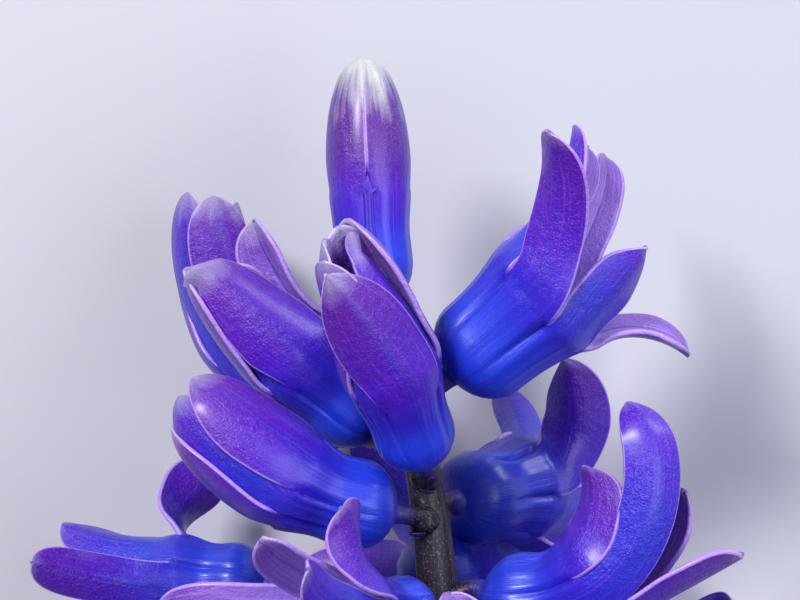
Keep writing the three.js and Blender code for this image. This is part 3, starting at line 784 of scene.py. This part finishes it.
class Graph:
    """Adds and links the nodes of one material or node group."""

    def __init__(self, tree: bpy.types.NodeTree) -> None:
        """Keeps the tree that the nodes go into."""
        self.tree = tree

    def add(self, kind: str, inputs: dict | None = None, **settings: object) -> bpy.types.Node:
        """Adds a node.

        Args:
            kind: the node's type.
            inputs: signals or values by the name or number of the input.
            settings: the node's own properties.

        Returns:
            The node.
        """
        node = self.tree.nodes.new(kind)
        for name, value in settings.items():
            setattr(node, name, value)
        for name, value in (inputs or {}).items():
            self.put(node.inputs[name], value)
        return node

    def put(self, socket: bpy.types.NodeSocket, value: object) -> None:
        """Links a socket, or sets its value.

        Args:
            socket: the input.
            value: a signal to link, or a number, vector or colour to set.
        """
        if isinstance(value, Signal):
            self.tree.links.new(value.socket, socket)
        elif socket.type == "RGBA":
            socket.default_value = (*value, 1.0)
        else:
            socket.default_value = value

    def out(self, kind: str, inputs: dict | None = None, output: int | str = 0, **settings: object) -> Signal:
        """What a new node of this kind puts out."""
        return Signal(self, self.add(kind, inputs, **settings).outputs[output])

    def math(self, operation: str, a: object, b: object = 0.0, clamp: bool = False) -> Signal:
        """One math node's result."""
        return self.out("ShaderNodeMath", {0: a, 1: b}, operation=operation, use_clamp=clamp)

    def mix(self, factor: object, a: object, b: object) -> Signal:
        """Two colours mixed by a factor."""
        return self.out("ShaderNodeMix", {0: factor, 6: a, 7: b}, 2, data_type="RGBA")

    def ramp(self, factor: Signal, stops: Sequence[tuple[float, Colour]]) -> Signal:
        """A colour from a row of stops.

        Args:
            factor: where on the row.
            stops: the place and the colour of each stop.

        Returns:
            The colour.
        """
        node = self.add("ShaderNodeValToRGB", {0: factor})
        elements = node.color_ramp.elements
        while len(elements) < len(stops):
            elements.new(0.5)
        for element, (place, colour) in zip(elements, stops):
            element.position = place
            element.color = (*colour, 1.0)
        return Signal(self, node.outputs[0])

    def value(self, name: str) -> Signal:
        """A number that each point of the mesh carries."""
        return self.out("ShaderNodeAttribute", output="Fac", attribute_name=name)

    def place(self) -> Signal:
        """A point's place in its object."""
        return self.out("ShaderNodeTexCoord", output="Object")

    def noise(self, vector: object, scale: object, detail: float = 2.0, roughness: float = 0.5) -> Signal:
        """Noise between 0 and 1 at a place."""
        inputs = {"Vector": vector, "Scale": scale, "Detail": detail, "Roughness": roughness}
        return self.out("ShaderNodeTexNoise", inputs, "Fac")

    def bump(self, height: Signal, strength: float, distance: float) -> Signal:
        """A normal tilted by a height, whose full distance is in metres."""
        return self.out("ShaderNodeBump", {"Height": height, "Strength": strength, "Distance": distance})

    def group(self, name: str, inputs: dict[str, object]) -> dict[str, Signal]:
        """What a node group puts out, by name, for these inputs."""
        node = self.add("ShaderNodeGroup", inputs, node_tree=bpy.data.node_groups[name])
        return {socket.name: Signal(self, socket) for socket in node.outputs}


class Group(Graph):
    """A node group with named number inputs and outputs, built once for every material."""

    def __init__(self, name: str, inputs: dict[str, float], outputs: Sequence[str]) -> None:
        """Starts the group.

        Args:
            name: the group's name.
            inputs: each input's usual value by its name.
            outputs: the outputs' names.
        """
        super().__init__(bpy.data.node_groups.new(name, "ShaderNodeTree"))
        number = "NodeSocketFloat"
        for socket, value in inputs.items():
            self.tree.interface.new_socket(socket, in_out="INPUT", socket_type=number).default_value = value
        for socket in outputs:
            self.tree.interface.new_socket(socket, in_out="OUTPUT", socket_type=number)
        entry = self.add("NodeGroupInput")
        self.given = {socket: Signal(self, entry.outputs[socket]) for socket in inputs}
        self.leave = self.add("NodeGroupOutput")

    def give(self, name: str, value: Signal) -> None:
        """Puts a signal out of the group."""
        self.put(self.leave.inputs[name], value)


class Skin(Graph):
    """A material with its Principled BSDF."""

    def __init__(self, name: str) -> None:
        """Starts the material.

        Args:
            name: the material's name.
        """
        self.material = bpy.data.materials.new(name)
        self.material.use_nodes = True
        super().__init__(self.material.node_tree)
        self.shader = self.tree.nodes["Principled BSDF"]

    def dress(self, inputs: dict[str, object]) -> bpy.types.Material:
        """Sets or links the shader's inputs by name, and gives the material.

        Args:
            inputs: signals or values by the input's name.

        Returns:
            The finished material.
        """
        for name, value in inputs.items():
            self.put(self.shader.inputs[name], value)
        return self.material


def grain_group() -> None:
    """Fine cells of plant skin.

    Height is a fine and a coarser noise in object space, added; Crinkle is a broad noise, for
    skin that puckers; the last output is 1 on the few cells that catch the light, the mask that
    the finishes paint glints with.
    """
    g = Group("plant grain", {"Cells a metre": 6000.0}, ["Height", "Crinkle", "Glint"])
    cells, place = g.given["Cells a metre"], g.place()
    fine = g.noise(place, cells, 1.0)
    coarse = g.noise(place, cells * 0.35, 1.0)
    g.give("Height", fine * 0.6 + coarse * 0.4)
    g.give("Crinkle", g.noise(place, cells * 0.17, 2.0))
    # painted glints: a mask of the few cells that catch the light
    g.give("Glint", fine.span(0.60, 0.72))


def vein_group() -> None:
    """Long fine veins that run up a tepal.

    The noise reads across and along with along drawn out some ten times, and tone moves it so
    that no two florets match.
    """
    g = Group("tepal veins", {"Across": 0.0, "Along": 0.0, "Tone": 0.0}, ["Veins", "Clouds"])
    across, along, shift = g.given["Across"], g.given["Along"], g.given["Tone"] * 37.0
    drawn = g.out("ShaderNodeCombineXYZ", {"X": across, "Y": along * 0.16, "Z": shift})
    g.give("Veins", g.noise(drawn, 13.0, 3.0, 0.6))
    broad = g.out("ShaderNodeCombineXYZ", {"X": across, "Y": along * 1.6, "Z": shift})
    g.give("Clouds", g.noise(broad, 1.6, 2.0))


@dataclass(frozen=True)
class TepalFinish:
    """Fleshy tepals: royal blue cups, violet lobes and grey-green shut tips, with painted light:
    margins paled as painted rim light, an inner face partly paled as painted highlight, and
    painted glints on single cells.

    The mesh carries along (0 to 1 in the cup and to 2 at the tip), across (-1 to 1), side (0 on
    the outer face, 1 on the inner), ring (0 for outer tepals, 1 for inner), ripe and tone.
    """

    base: Colour = (0.004, 0.018, 0.36)
    cup: Colour = (0.008, 0.036, 0.55)
    shoulder: Colour = (0.022, 0.013, 0.48)
    lobe: Colour = (0.064, 0.004, 0.44)
    upper: Colour = (0.096, 0.006, 0.33)
    plum: Colour = (0.080, 0.010, 0.21)
    # pale lilac: painted rim light along the lobes' margins; also the colour of the inner face's veins
    margin: Colour = (0.50, 0.31, 0.78)
    bud_tip: Colour = (0.50, 0.53, 0.50)
    ripe_tip: Colour = (0.58, 0.54, 0.64)
    # the inner face's own lilac and pale throat, made paler in part as painted highlight
    face: Colour = (0.34, 0.20, 0.76)
    throat: Colour = (0.74, 0.74, 0.92)
    # violet of the vein streaks, also laid on single cells as painted glints
    streak: Colour = (0.40, 0.18, 0.80)
    sheen: Colour = (0.75, 0.60, 1.0)

    def outside(self, g: Graph, vein: Signal, drift: Signal, shut: Signal) -> Signal:
        """The outer face, from blue at the base up to violet, streaked, with a dark midrib.

        Args:
            g: the material's graph.
            vein: the veins, 0 to 1.
            drift: how far clouds move the colours along the tepal.
            shut: 1 on a shut floret to 0 on an open one.

        Returns:
            The colour.
        """
        u, ring, ripe, tone = (g.value(name) for name in ("along", "ring", "ripe", "tone"))
        rise = (u + drift) * 0.5 - (tone - 0.5) * 0.10
        rise = rise + (1.0 - ripe) * u.span(0.3, 0.85, 0.0, 0.13) - ring * u.span(0.95, 1.40, 0.0, 0.26)
        colour = g.ramp(rise, [(0.0, self.base), (0.30, self.cup), (0.52, self.shoulder),
                               (0.70, self.lobe), (1.0, self.upper)])
        colour = g.mix(vein.span(0.52, 0.80) * u.span(0.55, 1.5, 0.04, 0.16), colour, self.streak)
        colour = g.mix(shut * u.span(0.95, 1.35, 0.0, 0.80), colour, self.plum)
        midrib = g.math("ABSOLUTE", g.value("across")).span(0.0, 0.16, 1.0, 0.0) * 0.35
        return g.mix(midrib, colour, self.base)

    def inside(self, g: Graph, vein: Signal) -> Signal:
        """The inner face, pale in the throat, veined, and dark along the midrib. Its paleness is partly
        its own colour and partly painted highlight.

        Args:
            g: the material's graph.
            vein: the veins, 0 to 1.

        Returns:
            The colour.
        """
        u = g.value("along")
        colour = g.ramp(u * 0.5, [(0.0, self.throat), (0.42, self.throat), (0.62, self.face),
                                  (1.0, self.upper)])
        colour = g.mix(vein.span(0.45, 0.75) * 0.45, colour, self.margin)
        midrib = g.math("ABSOLUTE", g.value("across")).span(0.03, 0.20, 1.0, 0.0)
        return g.mix(midrib * u.span(0.9, 1.2, 0.0, 0.65), colour, self.shoulder)

    def tip(self, g: Graph, colour: Signal, vein: Signal, drift: Signal, shut: Signal) -> Signal:
        """Lays the tip's pale patch, frayed along the veins, over a colour.

        Args:
            g: the material's graph.
            colour: the tepal's colour.
            vein: the veins, 0 to 1.
            drift: how far clouds move the colours along the tepal.
            shut: 1 on a shut floret to 0 on an open one.

        Returns:
            The colour with its tip.
        """
        u, ripe = g.value("along"), g.value("ripe")
        reach = g.math("POWER", ripe, 0.3) * 0.42 + 1.50
        frayed = (vein - 0.5) * (shut * 0.45)
        patchy = drift * (shut * 1.5 + 0.6)
        high = g.math("DIVIDE", u + (patchy + frayed) - reach, 0.40 - ripe * 0.22, clamp=True)
        return g.mix(high * (0.95 - ripe * 0.45), colour, g.mix(ripe, self.bud_tip, self.ripe_tip))

    def material(self) -> bpy.types.Material:
        """Builds the finish.

        Returns:
            The material.
        """
        g = Skin("tepal")
        u, x, ripe = g.value("along"), g.value("across"), g.value("ripe")
        veins = g.group("tepal veins", {"Across": x, "Along": u, "Tone": g.value("tone")})
        grain = g.group("plant grain", {"Cells a metre": SKIN_CELLS})
        vein = veins["Veins"]
        drift = (veins["Clouds"] - 0.5) * 0.34
        shut = g.math("SUBTRACT", 1.0, ripe * 2.2, clamp=True)
        inner = g.value("side").span(0.4, 0.9)
        colour = g.mix(inner, self.outside(g, vein, drift, shut), self.inside(g, vein))
        # painted rim light: a pale band along every lobe's margin, for light catching and shining through the
        # edges
        rim = g.math("ABSOLUTE", x).span(0.955, 1.0, 0.0, 0.70)
        colour = g.mix(rim * (u + ripe * 0.12).span(1.12, 1.24), colour, self.margin)
        colour = self.tip(g, colour, vein, drift, shut)
        # painted glints: the few cells that catch the light are lightened towards the streak violet
        colour = g.mix(grain["Glint"] * u.span(0.8, 1.9, 0.08, 0.32), colour, self.streak)
        cells = grain["Height"] * u.span(0.7, 1.5, 0.15, 1.2)
        puckers = grain["Crinkle"] * u.span(0.8, 1.5, 0.2, 1.6)
        return g.dress({
            "Base Color": colour, "Roughness": grain["Height"] * 0.20 + 0.30,
            "Normal": g.bump(cells + puckers + vein * 0.7, 0.55, 0.0003), "Specular IOR Level": 0.36,
            "Sheen Weight": 0.02, "Sheen Roughness": 0.35, "Sheen Tint": self.sheen,
            "Coat Weight": 0.40, "Coat Roughness": 0.26, "Subsurface Weight": 0.10,
            "Subsurface Radius": (0.6, 0.4, 1.0), "Subsurface Scale": 0.0008})


@dataclass(frozen=True)
class HeartFinish:
    """Waxy pistil and stamens: a green-white ovary, pale lilac filaments and dusty dark anthers.

    The mesh carries part, which is 0 for the pistil, 1 for filaments and 2 for anthers, and up,
    the share of the height.
    """

    ovary: Colour = (0.42, 0.50, 0.30)
    style: Colour = (0.62, 0.60, 0.84)
    filament: Colour = (0.66, 0.62, 0.90)
    anther: Colour = (0.055, 0.040, 0.16)
    pollen: Colour = (0.72, 0.62, 0.34)

    def material(self) -> bpy.types.Material:
        """Builds the finish.

        Returns:
            The material.
        """
        g = Skin("heart")
        part = g.value("part")
        grain = g.group("plant grain", {"Cells a metre": SKIN_CELLS})
        dust = g.noise(g.place(), 4200.0).span(0.52, 0.62)
        colour = g.mix(g.value("up").span(0.30, 0.52), self.ovary, self.style)
        colour = g.mix(part.span(0.3, 0.7), colour, self.filament)
        colour = g.mix(part.span(1.3, 1.7), colour, g.mix(dust * 0.75, self.anther, self.pollen))
        return g.dress({
            "Base Color": colour, "Roughness": dust * 0.3 + 0.38,
            "Normal": g.bump(grain["Height"], 0.4, 0.0002), "Subsurface Weight": 0.15,
            "Subsurface Radius": (0.8, 0.7, 1.0), "Subsurface Scale": 0.0008})


@dataclass(frozen=True)
class ScapeFinish:
    """A juicy stalk: dark purple-brown among the florets, green towards the cut, speckled, and
    with painted glints on a few cells.

    The mesh carries down, the share of the scape's length, bloom, which is 1 where a pedicel
    takes on the floret's blue, and cut, which is 1 on the cut end.
    """

    dark: Colour = (0.004, 0.002, 0.006)
    purple: Colour = (0.015, 0.006, 0.020)
    green: Colour = (0.110, 0.200, 0.050)
    # pale speckle of the stalk, also the colour of its painted glints
    speck_and_glint: Colour = (0.300, 0.260, 0.330)
    pale: Colour = (0.560, 0.620, 0.380)
    blue: Colour = (0.030, 0.030, 0.300)

    def material(self) -> bpy.types.Material:
        """Builds the finish.

        Returns:
            The material.
        """
        g = Skin("scape")
        place = g.place()
        drawn = g.out("ShaderNodeMapping", {"Vector": place, "Scale": (1.0, 0.12, 1.0)})
        streak = g.noise(drawn, 1800.0, 3.0, 0.6)
        cloud = g.noise(place, 160.0, 3.0)
        grain = g.group("plant grain", {"Cells a metre": STALK_CELLS})
        colour = g.mix(cloud.span(0.35, 0.65), self.dark, self.purple)
        lower = g.value("down") + (cloud - 0.5) * 0.5
        colour = g.mix(lower.span(0.30, 0.85), colour, self.green)
        colour = g.mix(streak.span(0.50, 0.78) * 0.13, colour, self.speck_and_glint)
        # painted glints on the few cells that catch the light
        colour = g.mix(grain["Glint"] * 0.35, colour, self.speck_and_glint)
        colour = g.mix(g.value("bloom") * 0.85, colour, self.blue)
        colour = g.mix(g.value("cut"), colour, self.pale)
        return g.dress({
            "Base Color": colour, "Roughness": grain["Height"] * 0.25 + 0.32,
            "Normal": g.bump(streak * 0.7 + grain["Height"] * 0.4, 0.4, 0.0003),
            "Specular IOR Level": 0.30, "Coat Weight": 0.12, "Coat Roughness": 0.35})


@dataclass(frozen=True)
class FloorFinish:
    """A pale plain tabletop, matt, with a faint mottle."""

    light: Colour = (0.47, 0.47, 0.53)
    shade: Colour = (0.44, 0.44, 0.51)

    def material(self) -> bpy.types.Material:
        """Builds the finish.

        Returns:
            The material.
        """
        g = Skin("tabletop")
        mottle = g.mix(g.noise(g.place(), 8.0, 3.0), self.light, self.shade)
        return g.dress({"Base Color": mottle, "Roughness": 0.8})


# ---- pistil and stamens -----------------------------------------------------------------------
@dataclass
class Heart:
    """Ovary, style, stigma and six stamens inside the cup of one open floret.

    Heights are shares of the cup's height, and radii are for a cup of the usual girth.
    """

    floret: Floret
    pistil: tuple[tuple[float, float], ...] = (  # height and radius
        (0.0, 0.45), (0.03, 0.95), (0.10, 1.45), (0.20, 1.75), (0.28, 1.70), (0.36, 1.30), (0.43, 0.85),
        (0.50, 0.52), (0.60, 0.42), (0.72, 0.42), (0.79, 0.56), (0.84, 0.66), (0.88, 0.52), (0.91, 0.25))
    anther: tuple[float, float] = (0.60, 0.97)  # lowest and highest point of an anther
    anther_size: tuple[float, float] = (0.62, 0.40)  # half width and half depth, mm
    filament: tuple[float, float] = (0.30, 0.16)  # radius at its foot and its head, mm
    notch: float = 0.42  # how deep an anther's groove is, as a share of its half depth

    def local(self, height: Grid, radius: Grid, angle: Grid) -> Grid:
        """Points in the floret's own frame.

        Args:
            height: shares of the cup's height.
            radius: radii in mm, scaled here to the cup's girth.
            angle: angles round the floret's axis.

        Returns:
            The points.
        """
        low = self.floret.rib + SEAT_GAP * 0.3
        fat = (self.floret.girth - 0.8) / 4.0
        return round_points(radius * fat, angle, low + height * (self.floret.tall - low))

    def build(self, material: bpy.types.Material) -> bpy.types.Object:
        """Builds the organs as closed bodies in one piece, which stands for the heart's solid.

        Args:
            material: the finish.

        Returns:
            The piece.
        """
        shell = Shell()
        self.add_pistil(shell)
        for j in range(TEPALS):
            self.add_stamen(shell, (2 * j + 1) * SECTOR)
        piece = shell.build(f"stamens_{self.floret.number:02d}", material, "heart")
        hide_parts(f"heart_{self.floret.number:02d}")
        return piece

    def add_pistil(self, shell: Shell) -> None:
        """Adds ovary, style and stigma: a turned profile with three lobes at foot and head.

        Args:
            shell: what the body is added to.
        """
        heights, radii = np.array(self.pistil).T
        fine = np.linspace(0, heights[-1], 26)[:, None]
        a = np.linspace(0, 2 * np.pi, 24, endpoint=False)[None, :]
        ovary, stigma = 0.10 * smooth(0.46, 0.30, fine), 0.18 * smooth(0.78, 0.86, fine)
        three = 1 + (ovary + stigma) * np.cos(3 * a)
        rings = self.local(fine, np.interp(fine, heights, radii) * three, a)
        shell.add_tube(self.floret.placed(rings), part=0.0, up=fine)

    def add_stamen(self, shell: Shell, turn: float) -> None:
        """Adds a thin filament that leans out, and an anther on it, notched down its inner side.

        Args:
            shell: what the bodies are added to.
            turn: the stamen's angle round the floret's axis.
        """
        foot, head = self.filament
        t = np.linspace(0, 1, 12)
        path = self.local(0.05 + 0.68 * t, 0.9 + 1.15 * np.sin(t * np.pi / 2), turn)
        shell.add_tube(self.floret.placed(swept(path, foot - (foot - head) * t, 8)), part=1.0, up=0.5)
        low, high = self.anther
        wide, deep = self.anther_size
        t = np.linspace(0, 1, 15)
        path = self.local(low + (high - low) * t, 2.0 - 0.35 * t, turn)
        around = np.linspace(0, 2 * np.pi, 14, endpoint=False)
        full = np.maximum(0.12, np.sin(np.pi * t) ** 0.45)[:, None]
        notch = 1 - self.notch * np.exp(-((np.minimum(around, 2 * np.pi - around)) / 0.45) ** 2)
        out, along = spoke(turn)
        rings = (path[:, None] - out * (deep * full * np.cos(around) * notch)[..., None]
                 + along * (wide * full * np.sin(around))[..., None])
        shell.add_tube(self.floret.placed(rings[:, ::-1]), part=2.0, up=t[:, None])


# ---- the scape --------------------------------------------------------------------------------
@dataclass
class Scape:
    """The flower stalk with a pedicel and a small bract under every floret."""

    line: tuple[Place, ...] = (
        (-2.6, -2.5, 0), (-0.5, -7, 0), (1.5, -12.5, 0), (2.5, -19, 0), (3.6, -26, 0), (4.4, -34, 0),
        (5.3, -43, 0), (6.2, -53, 0), (6.8, -63, 0), (7.0, -74, -1.5), (7.0, -88, -5.4),
        (6.6, -104, -11.8), (6.0, -120, -19.2), (5.0, -136, -26.0), (4.2, -148, -30.16))
    radius: tuple[float, float] = (0.9, 3.0)  # at the top and over most of the length, mm
    pedicel: tuple[float, float] = (0.95, 1.4)  # at its root and its head, mm
    neck: float = 1.2  # how far below the floret a pedicel turns into line with it, mm
    sink: float = 0.7  # how far a pedicel's head goes into the floret's base, mm
    flare: float = 0.9  # how much wider a pedicel is where it leaves the scape, mm
    collar: float = 0.35  # how much wider it is under the floret, mm
    shed: float = 2.2  # how far out of the scape that flare lasts, mm
    bract: float = 2.4  # a bract's length, mm
    bract_half: tuple[float, float] = (0.95, 0.22)  # half its width and half its thickness, mm
    rings: int = 260
    sides: int = 40
    cut_rings: tuple[float, ...] = (0.97, 0.6, 0.25)  # of the cut end, as shares of its radius

    def stalk_radius(self, t: Grid) -> Grid:
        """The scape's radius at a share of its length: a root curve that is full after 0.38."""
        return self.radius[0] + (self.radius[1] - self.radius[0]) * np.minimum(1, t * 2.6) ** 0.6

    def build(self, florets: Sequence[Floret], material: bpy.types.Material) -> bpy.types.Object:
        """Builds the scape, the pedicels and the bracts as one piece.

        The scape is a tube along a smooth line, with nine low ridges that wander round it.

        Args:
            florets: what the pedicels carry.
            material: the finish.

        Returns:
            The piece.
        """
        shell = Shell()
        centre = resampled(np.array(self.line, float), self.rings)
        t = np.linspace(0, 1, self.rings)
        rings = swept(centre, self.stalk_radius(t), self.sides)
        a = np.linspace(0, 2 * np.pi, self.sides, endpoint=False)[None, :]
        ridge = 1 + 0.012 * np.sin(9 * a + 2 * np.sin(4 * t[:, None])) + 0.02 * np.sin(2 * a + 7 * t[:, None])
        rings = centre[:, None] + (rings - centre[:, None]) * ridge[..., None]
        face = centre[-1] + (rings[-1] - centre[-1]) * np.array(self.cut_rings)[:, None, None]
        end = np.ones(len(face))
        cut, down = np.concatenate([0 * t, end])[:, None], np.concatenate([t, end])[:, None]
        shell.add_tube(np.concatenate([rings, face]), down=down, bloom=0.0, cut=cut)
        for floret in florets:
            self.add_pedicel(shell, floret, centre, t)
        piece = shell.build("stalk", material, "scape")
        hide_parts("scape")
        return piece

    def add_pedicel(self, shell: Shell, floret: Floret, centre: Grid, t: Grid) -> None:
        """Adds one pedicel and its bract.

        The pedicel leaves the scape just below the point nearest the floret's foot, and turns
        into line with the floret over its last stretch, where it widens into the floret's base.

        Args:
            shell: what the bodies are added to.
            floret: what the pedicel carries.
            centre: points along the scape's middle.
            t: the share of the scape's length at each of them.
        """
        foot = np.asarray(floret.base) - floret.axis * SEAT_GAP
        best = int(np.argmin(np.linalg.norm(centre - foot, axis=1)))
        root_at = min(1.0, t[best] + 0.012)
        root = np.array([np.interp(root_at, t, centre[:, i]) for i in range(3)])
        neck = foot - floret.axis * self.neck
        head = np.asarray(floret.base) + floret.axis * self.sink
        path = resampled(np.array([root, neck, head]), 26)
        s = np.linspace(0, 1, len(path))
        stalk = float(self.stalk_radius(np.array(root_at)))
        length = np.linalg.norm(np.diff(path, axis=0), axis=1).sum()
        out = np.clip((s * length - stalk) / self.shed, 0, 1)
        radii = self.pedicel[0] + (self.pedicel[1] - self.pedicel[0]) * s * s + self.flare * (1 - out) ** 2
        radii = radii + self.collar * smooth(0.86, 1.0, s)
        bloom = smooth(0.55, 1.0, s)[:, None]
        shell.add_tube(swept(path, radii, 20), down=root_at, bloom=bloom, cut=0.0)
        self.add_bract(shell, path, radii, root_at, stalk)

    def add_bract(self, shell: Shell, path: Grid, radii: Grid, root_at: float, stalk: float) -> None:
        """Adds the small pointed scale under a pedicel's root.

        It is a flattened, tapering tube that leaves the scape below the pedicel and leans out
        along it.

        Args:
            shell: what the body is added to.
            path: the pedicel's middle.
            radii: the pedicel's radius along it.
            root_at: the share of the scape's length where the pedicel leaves it.
            stalk: the scape's radius there.
        """
        out = unit(path[8] - path[0])
        side = unit(np.cross(out, [0.0, -1.0, 0.0]))
        low = unit(np.cross(side, out))
        away = -low if low[1] > 0 else low
        start = path[0] + out * stalk * 0.8 + away * radii[0] * 0.9
        t = np.linspace(0, 1, 9)[:, None]
        line = start + out * self.bract * t + away * (0.9 * t - 0.5 * t * t)
        a = np.linspace(0, 2 * np.pi, 12, endpoint=False)
        wide = self.bract_half[0] * (1 - t**2) ** 0.7 + 0.05
        thick = self.bract_half[1] * (1 - t**2) ** 0.5 + 0.03
        rings = (line[:, None] + side * (wide * np.cos(a))[..., None] + away * (thick * np.sin(a))[..., None]
                 - away * (0.35 * wide * (np.cos(a)) ** 2)[..., None])
        turned = np.cross(rings[1, 1] - rings[1, 0], rings[2, 0] - rings[1, 0]) @ (rings[1, 0] - line[1])
        shell.add_tube(rings if turned < 0 else rings[:, ::-1], down=root_at, bloom=0.35, cut=0.0)


# ---- the setting ------------------------------------------------------------------------------
@dataclass
class Lamp:
    """A square softbox that looks at a point of the raceme. Sizes are in metres."""

    name: str
    place: Place
    size: float
    watts: float
    colour: Colour
    target: Place = (0.0, 0.05, 0.03)

    def build(self) -> None:
        """Adds the light, turned so that its -Z points at the target."""
        data = bpy.data.lights.new(self.name, "AREA")
        data.size = self.size
        data.energy = self.watts
        data.color = self.colour
        z = unit(np.subtract(self.place, self.target))
        x = unit(np.cross([0.0, 1.0, 0.0], z))
        turn = Matrix(np.stack([x, np.cross(z, x), z], axis=1).tolist()).to_4x4()
        turn.translation = self.place
        linked(self.name, data).matrix_world = turn


@dataclass
class Studio:
    """Tabletop, lights and camera. The camera looks straight down on the top of the raceme."""

    table: float = 3.0  # side, m
    lens: float = 156.52  # mm
    sensor: float = 36.0  # width, mm
    height: float = 0.433  # of the camera over the tabletop, m
    over: tuple[float, float] = (-0.00021, 0.06057)  # where the camera stands, m
    sky: Colour = (0.80, 0.84, 1.0)
    sky_strength: float = 0.21
    lamps: tuple[Lamp, ...] = (
        Lamp("key", (-0.30, 0.36, 0.56), 0.16, 5.6, (1.0, 0.98, 0.97)),
        Lamp("fill", (0.38, 0.02, 0.58), 0.50, 3.1, (0.90, 0.93, 1.0)),
        Lamp("rim", (0.45, 0.55, 0.12), 0.30, 2.5, (0.93, 0.92, 1.0)),
    )

    def build(self, floor_z: float) -> None:
        """Builds the tabletop under the lowest petals, the lights, the world and the camera.

        Args:
            floor_z: the tabletop's height, m.
        """
        scene = bpy.context.scene
        half = self.table / 2
        mesh = bpy.data.meshes.new("tabletop")
        corners = [(x * half, y * half, floor_z) for x, y in ((-1, -1), (1, -1), (1, 1), (-1, 1))]
        mesh.from_pydata(corners, [], [(0, 1, 2, 3)])
        mesh.materials.append(FloorFinish().material())
        linked("tabletop", mesh)
        for lamp in self.lamps:
            lamp.build()
        world = bpy.data.worlds.new("studio")
        world.use_nodes = True
        background = world.node_tree.nodes["Background"]
        background.inputs["Color"].default_value = (*self.sky, 1.0)
        background.inputs["Strength"].default_value = self.sky_strength
        scene.world = world
        scene.view_settings.view_transform = "Standard"
        data = bpy.data.cameras.new("camera")
        data.lens = self.lens
        data.sensor_width = self.sensor
        data.clip_start = 0.01
        scene.camera = linked("camera", data)
        scene.camera.location = (*self.over, self.height)


def main() -> None:
    """Builds the raceme from the scape outwards, then the setting."""
    logging.basicConfig(level=logging.INFO, format="%(name)s %(message)s")
    grain_group()
    vein_group()
    tepal = TepalFinish().material()
    heart = HeartFinish().material()
    Scape().build(FLORETS, ScapeFinish().material())
    low = np.inf
    for floret in FLORETS:
        shell = Shell()
        floret.add_tepals(shell)
        piece = shell.build(f"bloom_{floret.number:02d}", tepal, "tepals")
        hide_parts(f"floret_{floret.number:02d}")
        low = min(low, shell.lowest())
        if floret.stage is not Stage.BUD:
            Heart(floret).build(heart)
    bpy.context.view_layer.update()
    Studio().build(low)


if __name__ == "__main__":
    main()
